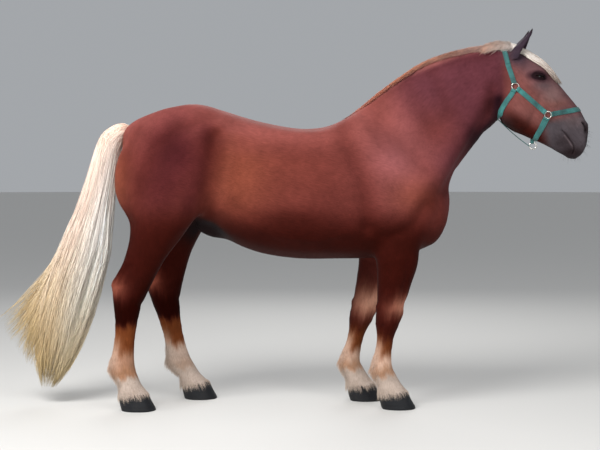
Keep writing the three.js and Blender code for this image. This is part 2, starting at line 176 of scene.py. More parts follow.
def tubeFaces(rows, count, ends=True, flipped=False):
    # quads between rings of points, with fans to the two last points at the ends, or else in a loop
    after = [(j + 1) % count for j in range(count)]
    last = (rows - 1) * count
    faces = [(i * count + j, (i + 1) % rows * count + j, (i + 1) % rows * count + k, i * count + k)
             for i in range(rows - ends) for j, k in enumerate(after)]
    if ends:
        faces += [(rows * count, j, k) for j, k in enumerate(after)]
        faces += [(rows * count + 1, last + k, last + j) for j, k in enumerate(after)]
    return [face[:1] + face[:0:-1] for face in faces] if flipped else faces


def applied(made):
    # the object's mesh with its modifiers, as a new mesh; the object goes
    depsgraph = bpy.context.evaluated_depsgraph_get()
    mesh = bpy.data.meshes.new_from_object(made.evaluated_get(depsgraph), depsgraph=depsgraph)
    old = made.data
    bpy.data.objects.remove(made)
    bpy.data.meshes.remove(old)
    return mesh


def joinedNodes(names):
    bm = bmesh.new()
    for name in names:
        bm.from_mesh(frame["nodes"][name].data)
    mesh = bpy.data.meshes.new("joined")
    bm.to_mesh(mesh)
    bm.free()
    return mesh


def remeshed(mesh, voxel):
    made = newObject("remeshing", mesh)
    shell = made.modifiers.new("shell", "REMESH")
    shell.mode = "VOXEL"
    shell.voxel_size = voxel
    return applied(made)


def largestPart(bm):
    seen, best = set(), []
    for vert in bm.verts:
        if vert in seen:
            continue
        stack, part = [vert], []
        seen.add(vert)
        while stack:
            here = stack.pop()
            part.append(here)
            for edge in here.link_edges:
                other = edge.other_vert(here)
                if other not in seen:
                    seen.add(other)
                    stack.append(other)
        if len(part) > len(best):
            best = part
    return best


def cutShell(mesh, at, normal):
    # keeps what lies behind the plane, with the cut open
    bm = bmesh.new()
    bm.from_mesh(mesh)
    bmesh.ops.bisect_plane(bm, geom=bm.verts[:] + bm.edges[:] + bm.faces[:], dist=1e-6,
                           plane_co=at, plane_no=normal, clear_outer=True)
    kept = set(largestPart(bm))
    bmesh.ops.delete(bm, geom=[v for v in bm.verts if v not in kept], context="VERTS")
    bm.to_mesh(mesh)
    bm.free()
    return mesh


# skin: one shell round all the flesh, finer on the head

skinSizes = {
    "bodyVoxel": 0.0095,
    "headVoxel": 0.0042,
    "earVoxel": 0.0022,
    "neckCut": (1.035, 0.0, 1.70),
    "neckLean": (0.994, 0.0, -0.109),
    "smoothRounds": 60,
    "mostTriangles": 196000,
}
legNames = ["foreleg_right", "foreleg_left", "hindleg_right", "hindleg_left"]
earNames = ["ear_right", "ear_left"]
fleshNames = ["trunk", "neck", "head", *legNames]
eyeCentre = {}
for side in sides:
    low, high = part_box(f"eye_{side}")
    eyeCentre[side] = np.array((low + high) / 2)

flesh = joinedNodes([*fleshNames, "eye_right", "eye_left"])
body = remeshed(flesh.copy(), skinSizes["bodyVoxel"])
head = remeshed(flesh, skinSizes["headVoxel"])
at, lean = Vector(skinSizes["neckCut"]), Vector(skinSizes["neckLean"])
bm = bmesh.new()
bm.from_mesh(cutShell(body, at, lean))
bm.from_mesh(cutShell(head, at, -lean))
bmesh.ops.bridge_loops(bm, edges=[e for e in bm.edges if e.is_boundary])
report(f"shell sewn, {sum(e.is_boundary for e in bm.edges)} open edges")


def refine(bm, centres):
    # splits the faces within reach of each centre
    found = set()
    spots = [(Vector(c), r) for c, r in centres]
    for face in bm.faces:
        middle = face.calc_center_median()
        if middle.x > 1.2 and any((middle - c).length < r for c, r in spots):
            found.update(face.edges)
    bmesh.ops.subdivide_edges(bm, edges=list(found), cuts=1, use_grid_fill=True)


mouthSpots = [((1.42, y, 1.425), 0.045) for y in (-0.06, 0.06)] + [
    ((1.465, y, 1.36), 0.05) for y in (-0.05, 0.0, 0.05)]
nostrilSpots = [((1.515, y, 1.46), 0.045) for y in (-0.05, 0.05)]
refine(bm, [(eyeCentre[side] + (0, 0.012 * sides[side], 0), 0.046) for side in sides]
       + mouthSpots + nostrilSpots)
refine(bm, [(eyeCentre[side] + (0, 0.02 * sides[side], 0), 0.03) for side in sides])
skin = bpy.data.meshes.new("skin")
bm.to_mesh(skin)
bm.free()
for old in (body, head):
    bpy.data.meshes.remove(old)
for name in earNames:
    # the ear's foot is drawn down into the skull so that the two join
    mesh = joinedNodes([name])
    p = pointsOf(mesh)
    foot = 1 - smoothStep(p[:, 2].min(), p[:, 2].min() + 0.035, p[:, 2])
    p += np.outer(foot, (-0.006, 0.0, -0.014))
    setPoints(mesh, p)
    ear = remeshed(mesh, skinSizes["earVoxel"])
    setPoints(ear, relax(pointsOf(ear), edgesOf(ear), 0.4, 8))
    earObject = newObject("ear", ear)
    joining = newObject("joining", skin)
    union = joining.modifiers.new("union", "BOOLEAN")
    union.operation = "UNION"
    union.solver = "MANIFOLD"
    union.object = earObject
    skin = applied(joining)
    bpy.data.objects.remove(earObject)
    bpy.data.meshes.remove(ear)
points = pointsOf(skin)
edges = edgesOf(skin)
report(f"skin of {len(points)} points")


def besideNeckCut(points, reach):
    # 1 on the seam of the two shells, 0 beyond reach
    away = np.abs((points - np.array(at)) @ np.array(lean))
    return 1 - smoothStep(0, reach, away)


def softness(points):
    # how strongly the facets are smoothed: most on the body, little on legs, head and ears
    x, y, z = points.T
    amount = 0.06 + 0.54 * smoothStep(0.62, 0.98, z)
    onHead = smoothStep(1.0, 1.1, x)
    amount = amount * (1 - onHead) + 0.30 * onHead
    onEar = smoothStep(1.80, 1.85, z) * smoothStep(0.018, 0.03, np.abs(y)) * smoothStep(1.12, 1.14, x)
    amount = amount * (1 - onEar) + 0.02 * onEar
    muzzle = smoothStep(1.36, 1.42, x)
    amount = amount * (1 - 0.5 * muzzle)
    return amount


points = relax(points, edges, np.maximum(softness(points), 0.5 * besideNeckCut(points, 0.05)),
               skinSizes["smoothRounds"])
report("facets smoothed")


# muscles, bones and folds pressed into the skin

def pathStrength(u, v, path, width):
    # 1 on a path drawn in a plane, falling to 0 at its width; a path point may scale the width
    nearest = np.full(len(u), 9.0)
    spots = [(*p, 1.0)[:3] for p in path]
    if len(spots) == 1:
        spots = spots * 2
    for (u0, v0, s0), (u1, v1, s1) in zip(spots, spots[1:]):
        du, dv = u1 - u0, v1 - v0
        t = np.clip(((u - u0) * du + (v - v0) * dv) / max(du * du + dv * dv, 1e-9), 0, 1)
        reach = width * (s0 + (s1 - s0) * t)
        nearest = np.minimum(nearest, np.hypot(u - u0 - t * du, v - v0 - t * dv) / reach)
    return np.exp(-3.2 * nearest ** 2) * (nearest < 1.6)


def frameOf(points):
    # outward directions, and how far each one turns away from the middle plane
    setPoints(skin, points)
    n = normalsOf(skin)
    return n, n[:, 1] * np.sign(points[:, 1])


def press(lift, strokes, u, v, *facings, scale=1000, strength=1):
    # adds the strokes to the lift in mm, where the skin faces them
    for path, width, height in strokes.values():
        part = strength * height * pathStrength(u, v, path, width / scale)
        for facing in facings:
            part = part * facing
        lift += part


bodyStrokes = {
    # seen from the side, both sides alike: path of (x, z), width and height in mm, minus for hollows
    "bladeRidge": ([(0.33, 1.50), (0.43, 1.35), (0.53, 1.22)], 55, 7),
    "bladeHollow": ([(0.405, 1.44), (0.46, 1.36)], 50, -6),
    "behindShoulder": ([(0.25, 1.44), (0.30, 1.31), (0.35, 1.20), (0.37, 1.08), (0.385, 0.96)], 65, -13),
    "triceps": ([(0.43, 1.19), (0.475, 1.04)], 115, 13),
    "underShoulder": ([(0.375, 0.945), (0.47, 0.885), (0.60, 0.945), (0.67, 1.06)], 48, -13),
    "pointOfShoulder": ([(0.66, 1.16), (0.64, 1.10)], 95, 12),
    "beforeShoulder": ([(0.44, 1.50), (0.56, 1.36), (0.68, 1.24)], 60, -9),
    "jugular": ([(1.03, 1.56, 1.6), (0.93, 1.38), (0.85, 1.24), (0.78, 1.13)], 45, -14),
    "neckMuscle": ([(1.00, 1.64), (0.88, 1.45), (0.78, 1.29), (0.69, 1.19)], 75, 9),
    "lowerNeck": ([(0.98, 1.44), (0.89, 1.27), (0.83, 1.15)], 40, 8),
    "underCrest": ([(0.41, 1.575), (0.605, 1.715), (0.865, 1.815), (1.03, 1.845)], 36, -6),
    "crest": ([(0.41, 1.63), (0.605, 1.765), (0.865, 1.855), (1.03, 1.88)], 45, 5),
    "neckFold": ([(0.72, 1.76), (0.81, 1.54)], 40, -5),
    "neckFoldBehind": ([(0.60, 1.68), (0.70, 1.46)], 50, -4),
    "throat": ([(1.03, 1.66), (1.035, 1.54)], 45, -10),
    "hip": ([(-0.345, 1.50), (-0.375, 1.475)], 55, 9),
    "belowHip": ([(-0.40, 1.42), (-0.41, 1.34)], 60, -9),
    "thighEdge": ([(-0.40, 1.40), (-0.417, 1.285), (-0.437, 1.134), (-0.43, 1.03)], 58, -12),
    "flankHollow": ([(-0.33, 1.36), (-0.34, 1.22)], 90, -7),
    "flankFold": ([(-0.445, 0.985), (-0.37, 1.04), (-0.29, 1.12)], 45, 7),
    "thigh": ([(-0.57, 1.30), (-0.55, 1.12)], 150, 11),
    "quarterLine": ([(-0.44, 1.50), (-0.60, 1.43), (-0.70, 1.34), (-0.765, 1.18), (-0.80, 1.05)], 55, -8),
    "quarterLineBehind": ([(-0.80, 1.44), (-0.865, 1.30), (-0.875, 1.13), (-0.83, 0.96)], 42, -8),
    "rump": ([(-0.66, 1.52), (-0.80, 1.42)], 90, 8),
    "stifle": ([(-0.475, 1.01), (-0.485, 0.95)], 75, 11),
    "belowStifle": ([(-0.56, 0.90), (-0.63, 0.84)], 55, -7),
    "belly": ([(-0.36, 1.08), (-0.10, 0.97), (0.20, 0.89), (0.36, 0.89)], 60, -5),
    "spurVein": ([(0.34, 0.93), (0.12, 0.875), (-0.10, 0.90)], 10, 3),
    "loinMuscle": ([(-0.28, 1.445), (0.02, 1.415), (0.22, 1.44)], 60, 6),
    "belowLoin": ([(-0.26, 1.37), (0.02, 1.335), (0.22, 1.36)], 60, -5),
    "withers": ([(0.22, 1.49), (0.33, 1.52)], 60, 5),
    "forearmTop": ([(0.50, 0.86), (0.50, 0.78)], 70, 6),
    "elbow": ([(0.395, 0.93), (0.405, 0.89)], 42, 10),
    **{f"rib{k}": ([(0.22 - 0.085 * k, 1.27), (0.18 - 0.085 * k, 1.13), (0.19 - 0.085 * k, 1.00)], 34, 1.0)
       for k in range(6)},
}
frontStrokes = {
    # seen from the front: path of (distance from the middle, z)
    "breastbone": ([(0.0, 1.22), (0.0, 0.93)], 42, -18),
    "pectoral": ([(0.10, 1.09), (0.115, 0.98)], 85, 12),
    "breastToArm": ([(0.205, 1.12), (0.20, 0.97)], 35, -8),
    "windpipe": ([(0.0, 1.40), (0.0, 1.22)], 50, 6),
}
topStrokes = {
    # seen from above: path of (x, distance from the middle)
    "croupFurrow": ([(-0.86, 0.0), (-0.62, 0.0), (-0.40, 0.0)], 62, -14),
    "croupMuscle": ([(-0.80, 0.11), (-0.55, 0.13)], 95, 7),
    "backFurrow": ([(-0.40, 0.0), (0.05, 0.0)], 45, -5),
}
rearStrokes = {
    "cleft": ([(0.0, 1.36), (0.0, 0.98)], 34, -22),
    "rearMuscle": ([(0.15, 1.30), (0.14, 1.08)], 80, 8),
}

n, outward = frameOf(points)
x, y, z = points.T
lift = np.zeros(len(points))
sideFacing = smoothStep(0.05, 0.4, outward)
onBody = 1 - smoothStep(1.04, 1.10, x)
press(lift, bodyStrokes, x, z, sideFacing, onBody, scale=950, strength=1.05)
frontFacing = smoothStep(0.1, 0.5, n[:, 0]) * smoothStep(0.5, 0.6, x) * onBody
press(lift, frontStrokes, np.abs(y), z, frontFacing)
upFacing = smoothStep(0.2, 0.6, n[:, 2]) * (1 - smoothStep(0.25, 0.3, x)) * smoothStep(1.2, 1.3, z)
press(lift, topStrokes, x, np.abs(y), upFacing)
rearFacing = smoothStep(0.1, 0.5, -n[:, 0]) * (1 - smoothStep(-0.7, -0.6, x)) * smoothStep(0.85, 0.95, z)
press(lift, rearStrokes, np.abs(y), z, rearFacing)
points = points + n * (lift / 1000)[:, None]
points = relax(points, edges, 0.5 * onBody * smoothStep(0.55, 0.8, z), 10)
report("body muscles")

# each leg by height and the angle round its middle: 0 in front, 90 outside, 180 behind
legReach = {"top": 0.86, "slice": 0.012}


def legLine(name):
    # the middle and half sizes of a leg at each height, from its solid
    mesh = frame["nodes"][name].data
    made = newObject("slicing", mesh.copy())
    shell = made.modifiers.new("shell", "REMESH")
    shell.mode = "VOXEL"
    shell.voxel_size = 0.008
    dense = applied(made)
    p = pointsOf(dense)
    bpy.data.meshes.remove(dense)
    heights = np.arange(0.075, 0.76, legReach["slice"])
    rows = []
    for height in heights:
        ring = p[np.abs(p[:, 2] - height) < legReach["slice"]]
        low, high = ring.min(0), ring.max(0)
        rows.append([*(low + high)[:2] / 2, *(high - low)[:2] / 2])
    return heights, np.array(rows)


legLines = {name: legLine(name) for name in legNames}


def onLeg(points, name):
    # angle, radius and whether a point belongs to the leg
    heights, rows = legLines[name]
    z = points[:, 2]
    cx, cy, a, b = (np.interp(z, heights, rows[:, k]) for k in range(4))
    outside = -1 if name.endswith("right") else 1
    dx, dy = points[:, 0] - cx, (points[:, 1] - cy) * outside
    angle = np.degrees(np.arctan2(dy / b, dx / a))
    far = np.hypot(dx / a, dy / b)
    belongs = (far < 1.5) * (1 - smoothStep(0.70, legReach["top"], z))
    return angle, (a + b) / 2, belongs


sharedLegStrokes = {
    # path of (angle, z)
    "tendonHollowOut": ([(122, 0.43), (122, 0.26)], 17, -6),
    "tendonHollowIn": ([(-122, 0.43), (-122, 0.26)], 17, -6),
    "tendon": ([(180, 0.44), (180, 0.25)], 22, 3),
    "fetlockOut": ([(95, 0.205)], 40, 4),
    "fetlockIn": ([(-95, 0.205)], 40, 4),
    "sesamoid": ([(180, 0.20)], 42, 6),
    "pasternHollow": ([(178, 0.135), (182, 0.135)], 30, -5),
    "coronet": ([(-180, 0.086), (180, 0.086)], 13, 3),
}
foreStrokes = {
    "extensor": ([(15, 0.80), (8, 0.60)], 55, 6),
    "extensorEdge": ([(62, 0.82), (50, 0.60)], 22, -5),
    "flexorEdge": ([(118, 0.80), (120, 0.62)], 20, -4),
    "kneeFront": ([(-12, 0.50), (12, 0.50)], 42, 5),
    "kneeOut": ([(75, 0.515)], 40, 4),
    "kneeIn": ([(-75, 0.515)], 40, 4),
    "kneeBehind": ([(165, 0.53)], 32, 8),
    "belowKnee": ([(-20, 0.445), (20, 0.445)], 24, -3),
}
hindStrokes = {
    "hockPoint": ([(180, 0.645)], 40, 7),
    "beforeTendonOut": ([(128, 0.74), (118, 0.645)], 34, -10),
    "beforeTendonIn": ([(-128, 0.74), (-118, 0.645)], 34, -10),
    "hockFront": ([(-30, 0.545), (30, 0.545)], 30, -4),
    "hockOut": ([(60, 0.60)], 40, 6),
    "hockIn": ([(-60, 0.60)], 42, 6),
    "hockLower": ([(40, 0.52)], 30, 4),
    "gaskin": ([(50, 0.80), (60, 0.72)], 60, 5),
}
n, outward = frameOf(points)
lift = np.zeros(len(points))
for name in legNames:
    angle, radius, belongs = onLeg(points, name)
    own = foreStrokes if name.startswith("fore") else hindStrokes
    for path, width, height in {**sharedLegStrokes, **own}.values():
        for turn in (-360, 0, 360):
            around = radius * np.radians(angle + turn)
            arc = [(math.radians(p[0]) * 0.055, p[1]) for p in path]
            lift += height * pathStrength(around * 0.055 / radius, points[:, 2], arc, width / 1000) * belongs
points = points + n * (lift / 1000)[:, None]
report("leg bones and tendons")

# the head: bones and folds seen from the side, then nostrils and lids

headStrokes = {
    "orbit": ([(1.268, 1.714)], 66, 9),
    "facialCrest": ([(1.275, 1.655), (1.31, 1.625), (1.36, 1.585)], 24, 4),
    "belowCrest": ([(1.25, 1.63), (1.31, 1.585), (1.36, 1.555)], 30, -3),
    "cheekFront": ([(1.285, 1.63), (1.262, 1.55), (1.235, 1.475)], 28, -4),
    "cheekMiddle": ([(1.19, 1.66), (1.175, 1.62)], 70, 4),
    "jawEdge": ([(1.10, 1.69), (1.092, 1.58), (1.12, 1.50)], 20, 2),
    "cheekbone": ([(1.235, 1.728), (1.20, 1.742), (1.17, 1.75)], 24, 3),
    "temple": ([(1.235, 1.788), (1.215, 1.79)], 32, -6),
    "brow": ([(1.250, 1.755), (1.275, 1.762), (1.298, 1.750)], 20, 3),
    "nasalBone": ([(1.33, 1.70), (1.42, 1.60), (1.49, 1.525)], 24, 2.5),
    "belowNasal": ([(1.34, 1.65), (1.42, 1.565), (1.465, 1.52)], 32, -3.5),
    "faceVein": ([(1.352, 1.61), (1.385, 1.55), (1.405, 1.49)], 8, 1.2),
    "faceVeinFork": ([(1.385, 1.55), (1.435, 1.52)], 7, 1.0),
    "upperLip": ([(1.43, 1.437), (1.465, 1.405), (1.497, 1.37)], 17, 2.5),
    "lowerLip": ([(1.405, 1.41), (1.43, 1.372), (1.447, 1.345)], 13, 3.5),
    "lipCorner": ([(1.40, 1.447)], 12, -3),
    "chinHollow": ([(1.385, 1.372), (1.40, 1.36)], 16, -3),
    "nostrilWing": ([(1.527, 1.44), (1.515, 1.462), (1.497, 1.487)], 26, 5),
    "noseHollow": ([(1.495, 1.44), (1.475, 1.475)], 16, -3),
}
wholeHeadStrokes = {
    "mouth": ([(1.402, 1.445, 0.6), (1.420, 1.428), (1.437, 1.406), (1.452, 1.386), (1.463, 1.366),
               (1.466, 1.347), (1.461, 1.325)], 9, -6.5),
}
nostril = {"path": [(1.528, 1.441, 1.3), (1.523, 1.462, 1.0), (1.506, 1.486, 0.6)], "width": 12, "depth": -21}

n, outward = frameOf(points)
x, y, z = points.T
lift = np.zeros(len(points))
sideFacing = smoothStep(0.05, 0.4, outward)
onHead = smoothStep(1.04, 1.10, x) * (z < 1.83)
press(lift, headStrokes, x, z, sideFacing, onHead)
press(lift, wholeHeadStrokes, x, z, onHead)
opening = pathStrength(x, z, nostril["path"], nostril["width"] / 1000)
lift += nostril["depth"] * opening * smoothStep(0.02, 0.035, np.abs(y)) * smoothStep(-0.2, 0.1, outward)
points = points + n * (lift / 1000)[:, None]
points = relax(points, edges, 0.3 * onHead, 3)

lids = {
    "globe": (0.036, 0.028, 0.0238),    # along the opening, up and outward
    "halfLength": 0.0275,
    "upper": 0.0074,          # half heights of the opening
    "lower": 0.0060,
    "thickness": 0.0026,
    "blend": 0.024,
    "outward": (0.24, 0.96, 0.10),
    "tilt": -9,               # degrees, the front corner lower
    # folds of the skin: above 1 or below -1, how far from the opening, width, depth and half length
    "folds": [(1, 0.0085, 0.0018, 0.0026, 0.031), (1, 0.0150, 0.0028, 0.0022, 0.034),
              (-1, 0.0070, 0.0018, 0.0014, 0.028)],
}


def eyeAxes(side):
    # along the opening, up and outward
    out = np.array(lids["outward"]) * (1, sides[side], 1)
    out /= np.linalg.norm(out)
    tilt = math.radians(lids["tilt"])
    along = np.array([math.cos(tilt), 0, math.sin(tilt)])
    along -= out * (along @ out)
    along /= np.linalg.norm(along)
    up = np.cross(along, out) * sides[side] * -1
    if up[2] < 0:
        up = -up
    return along, up, out


for side in sides:
    along, up, out = eyeAxes(side)
    rel = points - eyeCentre[side]
    close = (np.linalg.norm(rel, axis=1) < 0.07) & (rel @ out > 0)
    rel = rel[close]
    u, v, w = rel @ along, rel @ up, rel @ out
    across = np.clip(1 - (u / lids["halfLength"]) ** 2, 0, 1)
    height = np.where(v > 0, lids["upper"] * across ** 0.75, lids["lower"] * across)
    beyond = np.where(np.abs(u) < lids["halfLength"], np.abs(v) - height,
                      np.hypot(np.abs(u) - lids["halfLength"], v))
    wide, tall, deep = lids["globe"]
    ball = deep * np.sqrt(np.clip(1 - (u / wide) ** 2 - (v / tall) ** 2, 0.15, None))
    cover = 1 - smoothStep(0.002, lids["blend"], beyond)
    lidTop = ball + lids["thickness"]
    raised = w * (1 - cover) + lidTop * cover
    for way, place, width, depth, halfLength in lids["folds"]:
        fold = np.exp(-((beyond - place) / width) ** 2) * (way * v > 0) * (np.abs(u) < halfLength)
        raised = raised - depth * fold
    w = np.where(beyond < 0, lidTop - 0.008 * smoothStep(0, 0.0022, -beyond), raised)
    rel = np.outer(u, along) + np.outer(v, up) + np.outer(w, out)
    points[close] = eyeCentre[side] + rel
setPoints(skin, points)
report("head folds, nostrils and lids")

# fewer faces on the flat parts, then an unwrap that the coat shares
made = newObject("thinning", skin)
thin = made.modifiers.new("thin", "DECIMATE")
thin.ratio = skinSizes["mostTriangles"] / (2 * len(skin.polygons))
thin.use_collapse_triangulate = True
skin = applied(made)
smoothFaces(skin)
points = pointsOf(skin)
report(f"thinned to {len(skin.polygons)} faces")
skinPiece = newObject("horse_skin", skin)
skin.uv_layers.new(name="OFBake")
bpy.context.view_layer.objects.active = skinPiece
skinPiece.select_set(True)
bpy.ops.object.mode_set(mode="EDIT")
bpy.ops.mesh.select_all(action="SELECT")
bpy.ops.uv.smart_project(angle_limit=math.radians(66), island_margin=0.002, area_weight=0.0)
bpy.ops.object.mode_set(mode="OBJECT")
report("unwrapped")


# coat colours with painted highlights and shade, the same for the skin and the tufts on it

def channels(hexColour):
    return np.array([int(hexColour[k:k + 2], 16) / 255 for k in (1, 3, 5)])


def toLinear(colour):
    # sRGB from 0 to 1, as numbers or a hex string, to linear
    c = channels(colour) if isinstance(colour, str) else np.asarray(colour)
    return np.where(c <= 0.04045, c / 12.92, ((c + 0.055) / 1.055) ** 2.4)


coatColours = {
    "chestnut": "#632e29",
    "upper": "#8d4d47",       # painted highlight on the back and croup where they face up, and on the shoulder
    # painted shade on the side of the quarters and along the thigh's front edge
    "quarter": "#391318",
    # painted highlight on the shoulder
    "shoulder": "#8b5152",
    "flame": "#7b402f",       # flank and barrel, and painted highlight on the rear of the quarters
    "neck": "#532b34",
    "sooty": "#2f0c08",       # sooty coat of the upper legs, and painted shade under the body, in the creases and at the point of the shoulder
    "hock": "#1a0201",
    "boneHighlight": "#9f5c49",        # painted highlight on the point of the hock, the fold of the flank and the rear of the quarters
    # painted highlight on the front of the knees
    "kneeHighlight": "#cf9076",
    "tan": "#69381c",         # cannons
    "cream": "#be9f8c",       # fetlocks
    "white": "#af9e92",       # pasterns and coronets
    "dun": "#996e50",
    "cheek": "#734743",
    "face": "#5a4145",
    # painted highlight along the lips
    "lip": "#a08c8e",
    "muzzle": "#484246",
    "nose": "#806461",
    # dark skin of muzzle and ear tips; also painted shade in nostrils, mouth, under the jaw and round the eyes
    "dark": "#1d1719",
    # painted shade over the ears and round their base
    "ear": "#322a34",
    # painted shadow on the throat, painted shade under the neck and round the eyes
    "throat": "#160911",
    "sheath": "#1e1719",
    "crest": "#a96a61",
}


coatPaths = {
    # seen from the side: path of (x, z)
    "thighEdge": [(-0.44, 1.43), (-0.445, 1.33), (-0.475, 1.22), (-0.51, 1.11), (-0.53, 1.04)],
    "flankEdge": [(-0.31, 1.40), (-0.32, 1.31), (-0.345, 1.20), (-0.37, 1.10)],
    "throat": [(1.065, 1.60), (1.055, 1.50), (0.97, 1.39)],
    "lipHighlightLine": [(1.413, 1.418), (1.430, 1.398), (1.444, 1.380), (1.455, 1.362), (1.458, 1.347), (1.453, 1.328)],
    "crestTop": [(0.28, 1.535), (0.41, 1.64), (0.605, 1.775), (0.865, 1.875), (1.03, 1.915), (1.12, 1.93)],
}
bodySpots = [
    # colour, how much of it, middle (x, z) and reach each way; later ones lie over earlier ones
    # painted shade darkens the side of the quarters
    ("quarter", 0.85, (-0.60, 1.33), (0.16, 0.20)), ("quarter", 0.40, (-0.68, 1.13), (0.12, 0.15)),
    # painted highlight on the shoulder and upper arm
    ("shoulder", 0.85, (0.55, 1.31), (0.19, 0.19)), ("shoulder", 0.25, (0.52, 1.08), (0.12, 0.10)),
    # the lower neck in chestnut, then painted shade at the point of the shoulder
    ("chestnut", 0.60, (0.74, 1.44), (0.13, 0.13)), ("sooty", 0.45, (0.71, 1.08), (0.06, 0.07)),
    ("flame", 0.45, (0.60, 1.10), (0.13, 0.10)),
]
headSpots = [
    ("cheek", 0.90, (1.18, 1.50), (0.10, 0.07)), ("flame", 0.35, (1.37, 1.585), (0.07, 0.025)),
    ("nose", 0.75, (1.345, 1.63), (0.065, 0.055)),
]


def near(u, v, centre, reach):
    # a soft spot with its own reach each way
    return np.exp(-((u - centre[0]) / reach[0]) ** 2 - ((v - centre[1]) / reach[1]) ** 2)


def earShare(points):
    # 1 on the ears, 0 elsewhere
    x, y, z = points.T
    return smoothStep(1.835, 1.87, z) * smoothStep(0.022, 0.034, np.abs(y)) * smoothStep(1.125, 1.14, x)


def coatColour(points, directions):
    x, y, z = points.T
    out = directions[:, 1] * np.sign(y)
    side = smoothStep(-0.1, 0.5, out)
    colour = np.tile(channels(coatColours["chestnut"]), (len(points), 1))

    def paint(name, amount):
        nonlocal colour
        colour = colour + np.clip(amount, 0, 1)[:, None] * (channels(coatColours[name]) - colour)

    onTrunk = 1 - smoothStep(0.75, 0.95, x)
    paint("flame", 0.85 * near(x, z, (-0.30, 1.20), (0.20, 0.26)) * side)
    paint("flame", 0.15 * near(x, z, (0.02, 1.22), (0.24, 0.20)) * side)
    # painted highlight on the rear of the quarters
    paint("flame", 0.95 * near(x, z, (-0.92, 1.18), (0.09, 0.22)))
    # painted highlight: the back and croup lighter where they face up, and the shoulder lighter
    paint("upper", 0.85 * smoothStep(1.26, 1.46, z) * smoothStep(-0.1, 0.6, directions[:, 2]) * onTrunk)
    paint("upper", 0.7 * near(x, z, (0.52, 1.33), (0.22, 0.16)) * side)
    paint("neck", 0.85 * smoothStep(0.55, 0.85, x + 0.5 * (z - 1.3)) * (1 - smoothStep(1.06, 1.14, x)))
    for name, amount, centre, reach in bodySpots:
        paint(name, amount * near(x, z, centre, reach) * side)
    # more painted highlight on the rear of the quarters
    paint("boneHighlight", 0.35 * near(x, z, (-0.94, 1.18), (0.06, 0.17)))
    # painted shade along the front edge of the thigh, with a painted highlight on the fold of the flank before it
    paint("quarter", 0.40 * pathStrength(x, z, coatPaths["thighEdge"], 0.085) * side)
    paint("boneHighlight", 0.16 * pathStrength(x, z, coatPaths["flankEdge"], 0.055) * side)
    # a darker patch low on the barrel
    paint("sooty", 0.40 * near(x, z, (0.03, 0.985), (0.15, 0.07)) * side)
    # the underside darker, most where it faces down: sooty coat with painted shade under the belly
    paint("sooty", 0.95 * smoothStep(1.08, 0.88, z) * (0.75 + 0.25 * smoothStep(0.2, -0.6, directions[:, 2])))
    # painted shade in the creases between the muscles
    for path, width, height in bodyStrokes.values():
        if height < 0:
            paint("sooty", 0.021 * -height * pathStrength(x, z, path, width / 620) * side)
    # darker where the legs meet the body: sooty coat with painted shade under the body
    paint("sooty", 0.75 * smoothStep(1.10, 0.86, z) * smoothStep(-0.36, -0.44, x))
    paint("sooty", 0.75 * smoothStep(0.99, 0.84, z) * smoothStep(0.36, 0.42, x))
    paint("chestnut", 0.6 * near(x, z, (0.74, 0.97), (0.08, 0.10)))
    # painted shadow of the head on the throat, and painted shade low under the neck
    paint("throat", 0.90 * pathStrength(x, z, coatPaths["throat"], 0.050) * side)
    paint("throat", 0.6 * smoothStep(1.50, 1.40, z) * smoothStep(0.86, 0.95, x) * (1 - smoothStep(1.05, 1.1, x)))
    # pale crest where the mane grows
    crestLine = np.interp(x, *zip(*coatPaths["crestTop"]))
    onNeck = smoothStep(0.27, 0.36, x) * (1 - smoothStep(1.12, 1.18, x))
    paint("crest", 0.8 * smoothStep(0.065, 0.015, crestLine - z) * onNeck)
    # legs
    for name in legNames:
        fore, right = name.startswith("fore"), name.endswith("right")
        angle, _, belongs = onLeg(points, name)
        belongs = belongs > 0.02
        low = np.where(belongs, z, 2.0)
        behind = smoothStep(70, 150, np.abs(angle))
        wave = sum(size * np.sin(np.radians(angle) * turns + 2 * right)
                   for size, turns in ((0.009, 3), (0.007, 7), (0.005, 16), (0.003, 29)))
        low = low + wave
        paint("sooty", 0.9 * smoothStep(0.86, 0.74, low))
        if fore:
            if right:
                # painted highlight on the front of the near knee
                paint("kneeHighlight", 0.75 * near(angle, low, (25, 0.53), (75, 0.058)))
            else:
                # painted light on the far foreleg's forearm and knee, which the body shades
                paint("chestnut", 0.9 * near(np.abs(angle), low, (70, 0.72), (100, 0.13)))
                paint("kneeHighlight", near(np.abs(angle), low, (60, 0.54), (95, 0.085)))
                paint("cream", 0.30 * near(np.abs(angle), low, (60, 0.54), (80, 0.06)))
            paint("tan", 0.85 * smoothStep(0.45, 0.33, low))
            paint("sooty", 0.9 * near(angle, low, (35, 0.395), (85, 0.05)) * (1 if right else 0))
            paint("cream", 0.9 * smoothStep(0.40, 0.30, low) * behind)
            paint("cream", 0.95 * smoothStep(0.31, 0.24, low))
        else:
            # painted highlight on the point of the hock
            paint("boneHighlight", 0.75 * near(np.abs(angle), low, (150, 0.63), (50, 0.05)))
            paint("hock", 0.95 * near(angle, low, (10, 0.60), (75, 0.09)))
            paint("hock", 0.95 * smoothStep(0.60, 0.52, low) * smoothStep(0.42, 0.47, low))
            paint("tan", 0.9 * smoothStep(0.46, 0.41, low))
            paint("cream", 0.8 * smoothStep(0.42, 0.30, low) * behind)
            paint("cream", (1.0 if not right else 0.55) * smoothStep(0.33, 0.26, low))
        paint("dun", 0.6 * near(low, np.abs(angle), (0.195, 90), (0.03, 120)))
        if not right and not fore:
            paint("white", 0.9 * smoothStep(0.32, 0.27, low) * (0.6 + 0.4 * behind))
        paint("white", smoothStep(0.185, 0.155, low))
    # sheath
    under = near(x, z, (-0.46, 0.92), (0.13, 0.075)) * smoothStep(0.17, 0.12, np.abs(y)) * smoothStep(1.03, 0.97, z)
    paint("sheath", 1.6 * under)
